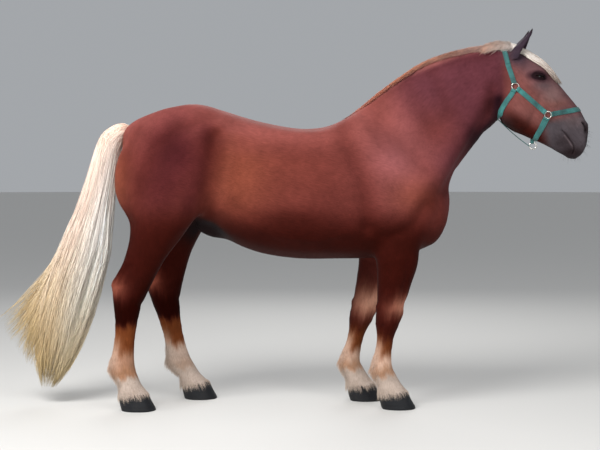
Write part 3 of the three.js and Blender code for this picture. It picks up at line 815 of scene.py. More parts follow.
    # head
    onHead = smoothStep(1.06, 1.16, x)
    paint("cheek", 0.85 * onHead)
    along = (x - 1.15) * 0.62 - (z - 1.80) * 0.78     # from poll to nose down the face
    paint("face", 0.80 * onHead * smoothStep(0.20, 0.06, (1.93 - 1.05 * (x - 1.13)) - z))
    for name, amount, centre, reach in headSpots:
        paint(name, amount * near(x, z, centre, reach) * side)
    belowBand = smoothStep(0.0, 0.05, 1.541 + 0.18 * (x - 1.4135) - 0.006 - z)
    belowBand = belowBand * smoothStep(1.265, 1.34, x + 0.25 * (z - 1.45))
    # painted shade along the lower edge of the head
    paint("sooty", 0.9 * smoothStep(0.10, 0.015, z - (1.50 - 0.62 * (x - 1.10))) * onHead)
    paint("muzzle", np.maximum(smoothStep(0.40, 0.50, along), belowBand) * onHead)
    paint("nose", 0.30 * near(x, z, (1.46, 1.505), (0.06, 0.04)) * side)
    # painted reflection of the sky: bluish grey under the eye
    paint("muzzle", 0.45 * near(x, z, (1.295, 1.675), (0.05, 0.022)) * side)
    # painted shade along the crease of the mouth
    paint("dark", 0.6 * pathStrength(x, z, wholeHeadStrokes["mouth"][0], 0.006) * side)
    # painted highlight along the lips' edge
    paint("lip", 0.6 * pathStrength(x, z, coatPaths["lipHighlightLine"], 0.007) * side)
    paint("dark", 0.5 * near(x, z, (1.41, 1.39), (0.05, 0.04)))
    paint("dark", 0.9 * near(x, z, (1.455, 1.33), (0.06, 0.035)) + 0.7 * near(x, z, (1.545, 1.42), (0.02, 0.05)))
    # painted shade under the jaw, between its branches
    paint("dark", 0.75 * near(x, z, (1.10, 1.47), (0.06, 0.05)))
    # painted shade inside the nostrils
    for spot, reach, amount in (((1.525, 1.455), (0.012, 0.020), 0.75), ((1.512, 1.480), (0.007, 0.010), 0.6)):
        paint("dark", amount * near(x, z, spot, reach) * side)
    # painted shade round each eye: dark under the lids, fading out over the brow and socket
    for eyeSide in sides:
        ahead, up, _ = eyeAxes(eyeSide)
        rel = points - eyeCentre[eyeSide]
        eyeNear = np.sqrt(((rel @ ahead + 0.003) / 0.041) ** 2 + ((rel @ up - 0.001) / 0.0195) ** 2)
        close = np.linalg.norm(rel, axis=1) < 0.07
        paint("dark", 0.95 * smoothStep(1.2, 0.85, eyeNear) * close)
        paint("throat", 0.45 * smoothStep(1.9, 1.0, eyeNear) * close)
    onEar = earShare(points)
    # painted shade round the ear's base and over the whole ear
    paint("ear", 0.95 * near(x, z, (1.160, 1.832), (0.062, 0.048)) * side)
    paint("ear", 0.95 * onEar)
    paint("dark", 0.7 * onEar * smoothStep(1.945, 1.972, z))
    return toLinear(colour)


def setColour(mesh, colours, name="coat"):
    layer = mesh.color_attributes.get(name) or mesh.color_attributes.new(name, "FLOAT_COLOR", "POINT")
    flat = np.ones((len(mesh.vertices), 4), np.float32)
    flat[:, :3] = colours
    layer.data.foreach_set("color", flat.ravel())


def lieWeights(points):
    # which way the hair lies, as shares of along the head, down the neck and down the legs
    x, _, z = points.T
    head = smoothStep(1.06, 1.16, x)
    neck = smoothStep(0.45, 0.75, x + 0.4 * (z - 1.2)) * (1 - head)
    leg = smoothStep(0.95, 0.75, z)
    return np.stack([head, neck * (1 - leg), leg], 1)


skinNormals = normalsOf(skin)
setColour(skin, coatColour(points, skinNormals))
setColour(skin, lieWeights(points), "lie")
report("coat coloured")


# materials

def addNode(tree, kind, inputs=None, **settings):
    # adds a node; an input is a value or another node's output
    node = tree.nodes.new(kind)
    for key, value in settings.items():
        setattr(node, key, value)
    for key, value in (inputs or {}).items():
        if isinstance(value, bpy.types.NodeSocket):
            tree.links.new(value, node.inputs[key])
        else:
            node.inputs[key].default_value = value
    return node


def newMaterial(name):
    material = bpy.data.materials.new(name)
    material.use_nodes = True
    material.node_tree.nodes.clear()
    return material, material.node_tree


def finishMaterial(tree, inputs):
    shader = addNode(tree, "ShaderNodeBsdfPrincipled", inputs)
    addNode(tree, "ShaderNodeOutputMaterial", {0: shader.outputs[0]})


def linearColour(hexColour):
    return (*toLinear(hexColour), 1.0)


furSizes = {
    "hairWidth": 1.6,         # mm between clumps of hair, drawn coarser than the 0.1 mm of real hairs
    "stretch": 14,            # how much longer than wide the clumps are
    "bump": 0.0011,
    "roughness": 0.58,
    # turn of the hair in the side plane, in degrees from straight back
    "lie": {"body": 14, "head": 48, "neck": -42, "leg": 88},
}


def furMaterial(name):
    # short summer coat, groomed flat: a satin shine with fine streaks along the hair
    material, tree = newMaterial(name)
    place = addNode(tree, "ShaderNodeTexCoord").outputs["Object"]
    coat = addNode(tree, "ShaderNodeAttribute", attribute_name="coat")
    lie = addNode(tree, "ShaderNodeAttribute", attribute_name="lie")
    shares = addNode(tree, "ShaderNodeSeparateColor", {0: lie.outputs["Color"]})
    scale = 1000 / furSizes["hairWidth"] / 2
    streaks = {}
    for part, turn in furSizes["lie"].items():
        turned = addNode(tree, "ShaderNodeMapping", {"Vector": place, "Rotation": (0, math.radians(-turn), 0)})
        squeezed = addNode(tree, "ShaderNodeMapping", {
            "Vector": turned.outputs[0], "Scale": (scale / furSizes["stretch"], scale, scale)})
        streaks[part] = addNode(tree, "ShaderNodeTexNoise", {
            "Vector": squeezed.outputs[0], "Scale": 1.0, "Detail": 2.0, "Roughness": 0.6}).outputs[0]
    mixed = streaks["body"]
    for part, share in (("neck", 1), ("leg", 2), ("head", 0)):
        mixed = addNode(tree, "ShaderNodeMix", {
            0: shares.outputs[share], 2: mixed, 3: streaks[part]}, data_type="FLOAT").outputs[0]
    # sun and sweat leave patches a hand wide and dapples of a few centimetres
    patches = addNode(tree, "ShaderNodeTexNoise", {"Vector": place, "Scale": 7.0, "Detail": 3.0})
    dapples = addNode(tree, "ShaderNodeTexNoise", {"Vector": place, "Scale": 34.0, "Detail": 2.0})
    shade = addNode(tree, "ShaderNodeMapRange", {
        0: patches.outputs[0], 1: 0.3, 2: 0.7, 3: 0.86, 4: 1.14})
    fine = addNode(tree, "ShaderNodeMapRange", {0: mixed, 1: 0.25, 2: 0.75, 3: 0.80, 4: 1.20})
    dapple = addNode(tree, "ShaderNodeMapRange", {0: dapples.outputs[0], 1: 0.3, 2: 0.7, 3: 0.93, 4: 1.07})
    level = addNode(tree, "ShaderNodeMath", {0: shade.outputs[0], 1: fine.outputs[0]}, operation="MULTIPLY")
    level = addNode(tree, "ShaderNodeMath", {0: level.outputs[0], 1: dapple.outputs[0]}, operation="MULTIPLY")
    tinted = addNode(tree, "ShaderNodeVectorMath", {0: coat.outputs["Color"], "Scale": level.outputs[0]},
                     operation="SCALE")
    gloss = addNode(tree, "ShaderNodeMapRange", {
        0: mixed, 1: 0.2, 2: 0.8, 3: furSizes["roughness"] - 0.06, 4: furSizes["roughness"] + 0.10})
    relief = addNode(tree, "ShaderNodeBump", {"Height": mixed, "Strength": 0.55, "Distance": furSizes["bump"]})
    finishMaterial(tree, {
        "Base Color": tinted.outputs[0], "Roughness": gloss.outputs[0], "Normal": relief.outputs[0], "IOR": 1.5,
        "Specular IOR Level": 0.07, "Specular Tint": linearColour("#e88f70")})
    return material


skinMaterial = furMaterial("horsehair_coat_short")
skin.materials.clear()
skin.materials.append(skinMaterial)
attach(skinPiece, "root")
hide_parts(*fleshNames, *earNames)


# hair: closed three-sided locks, many to a piece

uvPatch = 0.003     # each lock's patch on the skin's unwrap


def lockPiece(name, spines, radii, uv, colours, material, up, flat=1.0, smooth=True):
    # spines (locks, points, 3), radii (locks, points), colours per point
    count, k = spines.shape[:2]
    along = unit(np.gradient(spines, axis=1))
    side = unit(np.cross(along, np.broadcast_to(up, (count, 3))[:, None]))
    top = np.cross(side, along)
    corners = []
    for j in range(3):
        turn = 2 * math.pi * j / 3 + math.pi / 2
        corners.append(spines + radii[..., None] * (math.cos(turn) * side + flat * math.sin(turn) * top))
    rings = np.stack(corners, 2)[:, :-1].reshape(count, -1, 3)
    block = 3 * (k - 1) + 1
    vertices = np.concatenate([rings, spines[:, -1:]], 1).reshape(-1, 3)
    quads = [(3 * i + j, 3 * i + (j + 1) % 3, 3 * i + 3 + (j + 1) % 3, 3 * i + 3 + j)
             for i in range(k - 2) for j in range(3)]
    last = 3 * (k - 2)
    tris = [(last + j, last + (j + 1) % 3, block - 1) for j in range(3)] + [(2, 1, 0)]
    pattern = np.array([c for face in quads + tris for c in face], np.int64)
    sizes = np.array([len(face) for face in quads + tris], np.int32)
    loops = (np.arange(count)[:, None] * block + pattern).ravel().astype(np.int32)
    allSizes = np.tile(sizes, count)
    mesh = bpy.data.meshes.new(name)
    mesh.vertices.add(len(vertices))
    mesh.vertices.foreach_set("co", vertices.astype(np.float32).ravel())
    mesh.loops.add(len(loops))
    mesh.loops.foreach_set("vertex_index", loops)
    mesh.polygons.add(len(allSizes))
    mesh.polygons.foreach_set("loop_start", np.concatenate([[0], np.cumsum(allSizes)[:-1]]).astype(np.int32))
    smoothFaces(mesh, smooth)
    mesh.update()
    # place on the unwrap: across the lock by corner, along it by ring
    ringOf = np.append(np.repeat(np.arange(k - 1), 3), k - 1)
    cornerOf = np.append(np.tile(np.arange(3), k - 1), 1)
    shift = np.stack([(cornerOf / 2 - 0.5) * uvPatch, (ringOf / (k - 1) - 0.5) * uvPatch], 1)
    setMap(mesh, "OFBake", (np.clip(uv, uvPatch, 1 - uvPatch)[:, None] + shift).reshape(-1, 2))
    colours = np.broadcast_to(colours if colours.ndim == 3 else colours[:, None], (count, k, 3))
    setColour(mesh, colours[:, ringOf].reshape(-1, 3))
    return addPiece(name, mesh, material)


skin.calc_loop_triangles()
triangleCount = len(skin.loop_triangles)
triangleVerts = arrayOf(skin.loop_triangles, "vertices", 3, np.int32)
triangleLoops = arrayOf(skin.loop_triangles, "loops", 3, np.int32)
loopUv = arrayOf(skin.uv_layers["OFBake"].data, "uv", 2)
cornersOf = points[triangleVerts]
firstEdge, secondEdge = cornersOf[:, 1] - cornersOf[:, 0], cornersOf[:, 2] - cornersOf[:, 0]
triangleArea = np.linalg.norm(np.cross(firstEdge, secondEdge), axis=1) / 2
skinTree = BVHTree.FromPolygons([tuple(p) for p in points], [tuple(t) for t in triangleVerts])
report(f"skin area {triangleArea.sum():.2f} m2")


def rootsBy(density, count, seed):
    # random places on the skin, as likely as the density at each of its points
    rng = np.random.default_rng(seed)
    weight = triangleArea * density[triangleVerts].mean(1)
    chosen = rng.choice(triangleCount, count, p=weight / weight.sum())
    a, b = rng.random((2, count))
    flip = a + b > 1
    a[flip], b[flip] = 1 - a[flip], 1 - b[flip]
    share = np.stack([1 - a - b, a, b], 1)[..., None]
    place = (points[triangleVerts[chosen]] * share).sum(1)
    normal = unit((skinNormals[triangleVerts[chosen]] * share).sum(1))
    uv = (loopUv[triangleLoops[chosen]] * share).sum(1)
    return place, normal, uv, rng


def nearestSkin(places):
    # closest points of the skin and its outward directions there
    spots, outs = np.empty_like(places), np.empty_like(places)
    for k, place in enumerate(places):
        spot, out, _, _ = skinTree.find_nearest(Vector(place))
        spots[k], outs[k] = spot, out
    return spots, outs


def raisedOff(places, least, most):
    # moves places out of the skin until they are least clear of it, by most at the most
    flat = places.reshape(-1, 3)
    spots, outs = nearestSkin(flat)
    above = ((flat - spots) * outs).sum(1)
    return (flat + outs * np.clip(least - above, 0, most)[:, None]).reshape(places.shape)


def skinUvAt(places):
    # the unwrap's place of the nearest face, near enough for a root
    uv = np.empty((len(places), 2))
    for k, place in enumerate(places):
        _, _, index, _ = skinTree.find_nearest(Vector(place))
        uv[k] = loopUv[triangleLoops[index]].mean(0)
    return uv


hairWays = {
    "body": (-0.93, 0.0, -0.30), "neck": (-0.62, 0.0, -0.78), "leg": (-0.12, 0.0, -0.99),
    "head": (0.42, 0.0, -0.90), "breast": (-0.1, 0.0, -1.0), "ear": (0.32, 0.0, 0.95),
}


def lieOf(places, normals):
    # the way the hair lies at each place, along the skin
    x, y, z = places.T
    head, neck, leg = lieWeights(places).T
    body = np.clip(1 - head - neck - leg, 0, 1)
    breast = smoothStep(0.2, 0.7, normals[:, 0]) * smoothStep(0.5, 0.6, x) * (1 - head)
    ear = smoothStep(1.835, 1.86, z) * smoothStep(0.02, 0.03, np.abs(y)) * smoothStep(1.12, 1.14, x)
    shares = {"body": body * (1 - breast), "neck": neck * (1 - breast), "leg": leg, "head": head * (1 - ear),
              "breast": breast, "ear": ear * head}
    way = sum(np.outer(share, hairWays[part]) for part, share in shares.items())
    way[:, 1] += 0.25 * np.sign(y) * smoothStep(0.3, 0.9, normals[:, 2])
    way -= normals * (way * normals).sum(1)[:, None]
    return unit(way)


tuftShape = {
    "steps": [0.0, 0.5, 1.0],
    "fullness": [1.0, 0.85, 0.0],
    "sunk": 0.0012,           # root below the skin
    "stray": 0.16,            # how far tufts turn off the lie of the coat
    "tint": 0.05,             # spread of lightness from tuft to tuft
    "flat": 0.22,             # thickness as a share of the width
}


def growTufts(name, density, count, seed, length, halfWidth, rise):
    # short hair: each tuft leaves the skin and lies back along it
    s = tuftShape
    place, normal, uv, rng = rootsBy(density, count, seed)
    way = lieOf(place, normal)
    side = np.cross(normal, way)
    way = unit(way + side * rng.normal(0, s["stray"], count)[:, None])
    long = length * rng.uniform(0.7, 1.3, count)
    tilt = rise * rng.uniform(0.5, 1.5, count)
    steps = np.array(s["steps"])
    lean = np.sin(steps[None] * 1.3) * tilt[:, None]
    spines = (place[:, None] - normal[:, None] * s["sunk"]
              + way[:, None] * (steps[None] * long[:, None])[..., None]
              + normal[:, None] * ((lean + 0.05 * steps[None] ** 0.5) * long[:, None])[..., None])
    radii = halfWidth * rng.uniform(0.7, 1.3, count)[:, None] * np.array(s["fullness"])
    colours = coatColour(place, normal) * np.clip(rng.normal(1, s["tint"], count), 0.6, 1.5)[:, None]
    lockPiece(name, spines, radii, uv, colours, skinMaterial, normal, flat=s["flat"], smooth=False)


# long hair

def longHairMaterial(name):
    # flaxen horsehair: coarse, slightly waxy strands with a bright streaky shine
    material, tree = newMaterial(name)
    coat = addNode(tree, "ShaderNodeAttribute", attribute_name="coat")
    place = addNode(tree, "ShaderNodeTexCoord").outputs["Object"]
    squeezed = addNode(tree, "ShaderNodeMapping", {"Vector": place, "Scale": (320, 320, 18)})
    strands = addNode(tree, "ShaderNodeTexNoise", {"Vector": squeezed.outputs[0], "Scale": 1.0, "Detail": 2.0})
    level = addNode(tree, "ShaderNodeMapRange", {0: strands.outputs[0], 1: 0.3, 2: 0.7, 3: 0.92, 4: 1.16})
    tinted = addNode(tree, "ShaderNodeVectorMath", {0: coat.outputs["Color"], "Scale": level.outputs[0]},
                     operation="SCALE")
    finishMaterial(tree, {"Base Color": tinted.outputs[0], "Roughness": 0.42, "IOR": 1.55})
    return material


def curveThrough(knots, count):
    # Catmull-Rom through knots (locks, knots, 3), at evenly spread places
    n = knots.shape[1]
    t = np.linspace(0, n - 1, count)
    i = np.minimum(t.astype(int), n - 2)
    f = (t - i)[None, :, None]
    a, b, c, d = (knots[:, np.clip(i + s, 0, n - 1)] for s in (-1, 0, 1, 2))
    return b + 0.5 * f * (c - a + f * (2 * a - 5 * b + 4 * c - d + f * (3 * (b - c) + d - a)))


longHair = longHairMaterial("horsehair_long_flaxen")
tailShape = {
    # front x, z, rear x, z and half width of the tail from inside the croup to the tip, in metres
    "rows": [
        (-0.800, 1.400, -0.815, 1.474, 0.034), (-0.868, 1.408, -0.893, 1.486, 0.046),
        (-0.900, 1.385, -0.968, 1.462, 0.052), (-0.912, 1.330, -1.026, 1.398, 0.058),
        (-0.926, 1.230, -1.074, 1.254, 0.064), (-0.942, 1.090, -1.116, 1.112, 0.072),
        (-0.956, 0.955, -1.178, 0.968, 0.084), (-0.970, 0.805, -1.246, 0.805, 0.096),
        (-1.010, 0.640, -1.312, 0.650, 0.102), (-1.052, 0.500, -1.352, 0.500, 0.096),
        (-1.096, 0.375, -1.366, 0.372, 0.082), (-1.150, 0.255, -1.368, 0.250, 0.064),
        (-1.205, 0.160, -1.352, 0.155, 0.044), (-1.262, 0.088, -1.336, 0.080, 0.022)],
    # where hair blown out behind goes from the middle of the tail on
    "plume": [
        (-1.105, 0.900, -1.205, 0.915, 0.070), (-1.165, 0.765, -1.272, 0.800, 0.070),
        (-1.245, 0.650, -1.345, 0.695, 0.064), (-1.340, 0.548, -1.425, 0.608, 0.058),
        (-1.450, 0.455, -1.510, 0.530, 0.048), (-1.560, 0.385, -1.590, 0.470, 0.030)],
    "plumeStart": 6.3,
    "front": ["#e8c4ae", "#efd9ca", "#f2e6dd", "#f5eee7", "#f0e6d6", "#e8d6b4", "#d0b781"],
    "rear": ["#ebc9b5", "#ecd0bd", "#ecd3c3", "#ecd6c5", "#e9d2b0", "#dcc191", "#bfa466"],
    "grey": "#9a978c",
    "locks": 2500,            # in each of the pieces
    "pieces": "abc",
    "halfWidth": 0.00175,
    "points": 10,
    "clumps": 90,
    "gather": 0.62,
}


def rowTable(rows, count):
    return curveThrough(np.array(rows)[None], count)[0]


def rowPlaces(table, share, p, q):
    # place at a share of a body of rows, p from front 1 to rear -1, q from right -1 to left 1
    grid = np.linspace(0, 1, len(table))
    fx, fz, rx, rz, half = (np.interp(share, grid, table[:, c]) for c in range(5))
    return np.stack([(fx + rx) / 2 + p * (fx - rx) / 2, q * half, (fz + rz) / 2 + p * (fz - rz) / 2], -1)


def discPlaces(rng, count, inner=0.1):
    angle, r = rng.uniform(0, 2 * math.pi, count), rng.uniform(inner, 1, count) ** 0.5
    return r * np.cos(angle), r * np.sin(angle)


def rampOf(hexColours, place):
    # colours between several, place from 0 to 1
    ramp = np.array([toLinear(c) for c in hexColours])
    at = np.clip(place, 0, 1) * (len(ramp) - 1)
    low = np.minimum(at.astype(int), len(ramp) - 2)
    return ramp[low] + (at - low)[..., None] * (ramp[low + 1] - ramp[low])


def swathe(rng, shape, firsts, lasts, count):
    # locks that run down a body, from its core outwards, gathered in clumps that drift apart:
    # their share of the way at each point, and their places in its section
    p, q = discPlaces(rng, count)
    cp, cq = discPlaces(rng, shape["clumps"], 0.2)
    mine = np.argmin((p[:, None] - cp) ** 2 + (q[:, None] - cq) ** 2, 1)
    first = rng.uniform(*firsts, count) * np.where(rng.random(count) < 0.5, 0.2, 1)
    last = rng.uniform(*lasts, count) * rng.normal(1, 0.03, shape["clumps"])[mine]
    steps = np.linspace(0, 1, shape["points"])
    share = np.clip(first[:, None] + (last - first)[:, None] * steps, 0, 1)
    outward = 0.45 + 0.55 * smoothStep(0, 0.07, share - first[:, None])
    gather = shape["gather"] * smoothStep(0.10, 0.8, share) * rng.uniform(0.2, 1, count)[:, None]
    phase = rng.uniform(0, 6.28, (shape["clumps"], 2))[mine]
    own = rng.uniform(0, 6.28, (count, 2))
    fan = smoothStep(0.15, 0.8, share)
    pp = outward * p[:, None] + gather * (cp[mine] - p)[:, None]
    pp = pp + fan * (0.10 * np.sin(10 * share + phase[:, :1]) + 0.07 * np.sin(20 * share + own[:, :1]))
    qq = outward * q[:, None] + gather * (cq[mine] - q)[:, None]
    qq = qq + fan * (0.14 * np.sin(9 * share + phase[:, 1:]) + 0.08 * np.sin(23 * share + own[:, 1:]))
    return share, np.clip(pp, -1.05, 1.05), np.clip(qq, -1.05, 1.05), mine


def growTail():
    s = tailShape
    body = rowTable(s["rows"], 200)
    plume = rowTable(s["plume"], 100)
    start = s["plumeStart"] / (len(s["rows"]) - 1)
    for part, letter in enumerate(s["pieces"]):
        rng = np.random.default_rng(40 + part)
        n, k = s["locks"], s["points"]
        share, p, q, mine = swathe(rng, s, (0, 0.27), (0.70, 1.0), n)
        spines = rowPlaces(body, share, p, q)
        # the wind lifts whole clumps of the rear part, each by its own amount
        lifted = np.where(rng.random(s["clumps"]) < 0.68, rng.uniform(0.30, 1.0, s["clumps"]), 0)[mine]
        lifted = np.clip(lifted + rng.normal(0, 0.06, n), 0, 1) * smoothStep(0.25, -0.55, p[:, k // 2])
        blown = np.clip((share - start) / (1 - start), 0, 1)
        blown = np.clip(blown * rng.uniform(0.85, 1.12, n)[:, None], 0, 1)
        away = rowPlaces(plume, blown, 1.1 * p + 0.35, q)
        spines = spines + (lifted[:, None] * smoothStep(0, 0.22, blown))[..., None] * (away - spines)
        steps = np.linspace(0, 1, k)
        fullness = np.interp(steps, [0, 0.12, 0.6, 0.88, 1], [0.6, 1, 0.85, 0.5, 0])
        radii = s["halfWidth"] * rng.uniform(0.5, 1.25, n)[:, None] * fullness
        radii = radii * (1 - 0.35 * lifted[:, None] * blown)
        rearness = smoothStep(0.55, -0.45, p)[..., None]
        colours = rampOf(s["front"], share) * (1 - rearness) + rampOf(s["rear"], share) * rearness
        shade = rng.normal(1, 0.07, s["clumps"])[mine] * rng.normal(1, 0.09, n)
        colours = colours * np.clip(shade, 0.6, 1.2)[:, None, None]
        grey = (rng.random(n) < 0.07) * rng.uniform(0.2, 0.6, n)
        greyed = grey[:, None, None] * (1 - smoothStep(0.3, 0.8, share))[..., None]
        colours = np.clip(colours + greyed * (toLinear(s["grey"]) - colours), 0, 0.9)
        uv = np.stack([np.arctan2(q[:, 0], p[:, 0]) / (2 * math.pi) + 0.5, share[:, 0] * 3 + 0.05], 1)
        hair = lockPiece(f"tail_hair_{letter}", spines, radii, uv, colours, longHair,
                         np.array([0.3, 1.0, 0.2]))
        if part == 0:
            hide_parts("tail")


growTail()
report("tail")


# mane: roots along the crest, most of it lying over the left of the neck

def crestHeight(x):
    # the skin's top line over the neck and poll
    out = np.empty_like(x)
    for k, ahead in enumerate(x):
        spot = skinTree.ray_cast(Vector((ahead, 0.004, 2.4)), Vector((0, 0, -1)))[0]
        out[k] = spot.z
    return out


def skinSide(x, z):
    # distance of the skin's left side from the middle plane, zero where a line misses it
    out = np.zeros_like(x)
    for k in range(len(x)):
        spot = skinTree.ray_cast(Vector((x[k], 0.8, z[k])), Vector((0, -1, 0)))[0]
        out[k] = spot.y if spot is not None else 0
    return out


crestAt = np.linspace(0.24, 1.17, 94)
crestTop = crestHeight(crestAt)
maneShape = {
    # along the crest: where, how long it hangs on the left, and how high it stands
    "at": [0.27, 0.36, 0.50, 0.65, 0.80, 0.95, 1.04, 1.10],
    "hang": [0.05, 0.15, 0.27, 0.32, 0.34, 0.30, 0.26, 0.20],
    "stand": [0.004, 0.009, 0.013, 0.014, 0.013, 0.014, 0.018, 0.020],
    "colours": ["#96594c", "#b9796a", "#c98f80", "#cf9d8e", "#d5ab9c", "#dbbcae", "#e2d2c8", "#e6dbd3"],
    "roots": (0.275, 1.10),
    "rootY": (-0.012, 0.020),
    "locks": 2400,
    "clumps": 90,
    "points": 9,
    "halfWidth": 0.0018,
}


def growMane():
    s = maneShape
    rng = np.random.default_rng(60)
    n, k = s["locks"], s["points"]
    clumps = s["clumps"]
    at = rng.uniform(*s["roots"], n)
    clumpAt = np.sort(rng.uniform(*s["roots"], clumps))
    mine = np.argmin(np.abs(at[:, None] - clumpAt), 1)
    hang = np.interp(at, s["at"], s["hang"]) * rng.uniform(0.55, 1.05, n) * rng.normal(1, 0.09, clumps)[mine]
    stand = np.interp(at, s["at"], s["stand"]) * rng.uniform(0.5, 1.1, n)
    layer = rng.uniform(0, 1, n)
    rootY = rng.uniform(*s["rootY"], n)
    steps = np.linspace(0, 1, k)
    fall = np.clip((steps[None] - 0.16) / 0.84, 0, 1) * hang[:, None]
    drift = 0.05 * steps[None] ** 1.5 * rng.normal(0.3, 0.6, n)[:, None]
    drift = drift + 0.6 * (clumpAt[mine] - at)[:, None] * smoothStep(0.2, 1, steps)[None]
    drift = drift + 0.006 * np.sin(steps[None] * 9 + rng.uniform(0, 6.28, clumps)[mine][:, None])
    x = at[:, None] + drift
    top = np.interp(x, crestAt, crestTop)
    z = top + stand[:, None] * np.sin(np.clip(steps[None] / 0.2, 0, 1.0) * math.pi / 2) - fall
    lift = 0.003 + 0.013 * layer[:, None] * smoothStep(0, 0.3, steps)[None] * (1 - 0.5 * steps[None])
    y = skinSide(x.ravel(), np.minimum(z, top - 0.004).ravel()).reshape(z.shape)
    over = smoothStep(0.02, 0.20, steps)[None]
    y = rootY[:, None] * (1 - over) + (np.maximum(y, 0.012) + lift) * over
    z[:, 0] -= 0.010
    spines = np.stack([x, y, z], -1)
    fullness = np.interp(steps, [0, 0.15, 0.7, 1], [0.7, 1, 0.8, 0])
    radii = s["halfWidth"] * rng.uniform(0.6, 1.2, n)[:, None] * fullness
    colours = rampOf(s["colours"], (at - 0.27) / 0.83)[:, None]
    pale = rampOf(["#d9b9a4", "#e3cdbb"], rng.random(n))[:, None]
    blend = smoothStep(0.05, 0.4, steps)[None, :, None]
    colours = colours + 0.8 * blend * (pale - colours)
    # tone varies at random by lock and clump; the locks lying closest to the neck get painted shade
    colours = colours * np.clip(rng.normal(1, 0.1, n) * rng.normal(1, 0.07, clumps)[mine]
                                * (0.75 + 0.25 * layer), 0.5, 1.2)[:, None, None]
    hair = lockPiece("mane_hair", spines, radii, skinUvAt(spines[:, 0]), colours, longHair,
                     np.array([1.0, 0.1, 0.3]))
    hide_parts("mane")
    crestHair("mane_fringe", fringe, 61)
    crestHair("mane_poll", pollTuft, 62)


fringe = {
    # short hair along the crest that falls a little way down the right side
    "at": (0.28, 1.10),
    "where": [0.28, 0.40, 0.60, 0.80, 0.95, 1.10],
    "long": [0.030, 0.044, 0.058, 0.066, 0.072, 0.074],
    "stand": [0.005, 0.016, 0.026, 0.032, 0.036, 0.038],
    "rootY": (-0.026, 0.012),
    "sweep": 0.92,
    "fall": 0.42,
    "colours": ["#9c5340", "#bd6f52", "#d28a68", "#dc9f84", "#e2b3a1", "#e8cbbc"],
    "fade": 0.9,              # how far the tips take on the coat's colour
    "locks": 4300,
    "halfWidth": 0.00080,
}
pollTuft = {
    # fuller hair over the poll, behind and between the ears
    "at": (1.01, 1.17),
    "where": [1.01, 1.05, 1.10, 1.14, 1.17],
    "long": [0.066, 0.074, 0.068, 0.060, 0.050],
    "stand": [0.032, 0.052, 0.062, 0.052, 0.028],
    "rootY": (-0.032, 0.032),
    "sweep": 0.74,
    "fall": 0.72,
    "colours": ["#e0b39a", "#ead2c4", "#f2e7df"],
    "fade": 0.30,
    "locks": 2700,
    "halfWidth": 0.00090,
}


def crestHair(name, s, seed):
    # each lock rises to its own layer, then bends back and over to the side
    rng = np.random.default_rng(seed)
    n, k = s["locks"], 6
    at = rng.uniform(*s["at"], n)
    layer = rng.uniform(0.1, 1.0, n) ** 0.7
    long = np.interp(at, s["where"], s["long"]) * rng.uniform(0.35, 1.2, n)
    stand = np.interp(at, s["where"], s["stand"]) * layer
    rootY = rng.uniform(*s["rootY"], n) * smoothStep(0.24, 0.42, at)
    steps = np.linspace(0, 1, k)
    clumpAt = np.arange(*s["at"], 0.013)
    mine = np.argmin(np.abs(at[:, None] - clumpAt), 1)
    sweep = s["sweep"] + 0.12 * np.sin(clumpAt * 60)[mine] + rng.normal(0, 0.10, n)
    wave = 0.0022 * np.sin(steps[None] * 7 + rng.uniform(0, 6.28, len(clumpAt))[mine][:, None])
    x = at[:, None] - (long * sweep)[:, None] * steps[None] + wave
    x = x + 0.5 * (clumpAt[mine] - at)[:, None] * smoothStep(0.1, 1, steps)[None]
    turn = np.where(rootY + rng.normal(0, 0.006, n) < 0.003, -1.0, 1.0)
    over = (long * rng.uniform(0.5, 1.0, n) * s["fall"])[:, None] * np.clip(steps[None] - 0.10, 0, 1) / 0.9
    y = rootY[:, None] + turn[:, None] * over * (1 - 0.35 * steps[None])
    y = y + 0.5 * wave
    # the top of the crest is round: beyond its shoulders the hair falls
    top = np.interp(x, crestAt, crestTop)
    rise = stand[:, None] * np.sin(np.clip(steps[None] * 3.2, 0, math.pi / 2)) * (1 - 0.75 * steps[None] ** 1.5)
    z = top - 0.005 - 9.0 * y ** 2 + rise
    spines = np.stack([x, y, z], -1)
    # tips that would dip into the skin are laid on it
    spines[:, 2:] = raisedOff(spines[:, 2:], 0.0022, 0.05)
    radii = s["halfWidth"] * rng.uniform(0.6, 1.2, n)[:, None] * np.interp(steps, [0, 0.6, 1], [1, 0.8, 0])
    share = (at - s["at"][0]) / (s["at"][1] - s["at"][0])
    colours = rampOf(s["colours"], share) * np.clip(rng.normal(1, 0.08, n), 0.7, 1.2)[:, None]
    coat = coatColour(spines[:, 0] - (0, 0, 0.06), np.tile([0.0, -0.9, 0.3], (n, 1)))
    down = smoothStep(0.25, 1.0, steps)[None, :, None] * (s["fade"] * (0.6 + 0.4 * layer))[:, None, None]
    colours = colours[:, None] + down * (coat - colours)[:, None]
    lockPiece(name, spines, radii, skinUvAt(spines[:, 0]), np.clip(colours, 0, 0.92), longHair,
              np.array([1.0, 0.1, 0.3]))


growMane()
report("mane")

forelockShape = {
    "rows": [
        (1.088, 1.896, 1.092, 1.872, 0.024), (1.122, 1.915, 1.112, 1.872, 0.032),
        (1.160, 1.902, 1.146, 1.864, 0.038),
        (1.224, 1.868, 1.206, 1.828, 0.046), (1.272, 1.840, 1.240, 1.794, 0.052),
        (1.319, 1.802, 1.280, 1.758, 0.048), (1.355, 1.766, 1.318, 1.722, 0.040),
        (1.384, 1.727, 1.352, 1.692, 0.028), (1.404, 1.690, 1.384, 1.668, 0.014)],
    "colours": ["#e9ded6", "#efe5dd", "#ece0d6", "#e2d2c6", "#d5c2b3"],
    "locks": 1800,
    "points": 10,
    "clumps": 34,
    "gather": 0.45,
    "halfWidth": 0.0012,
}


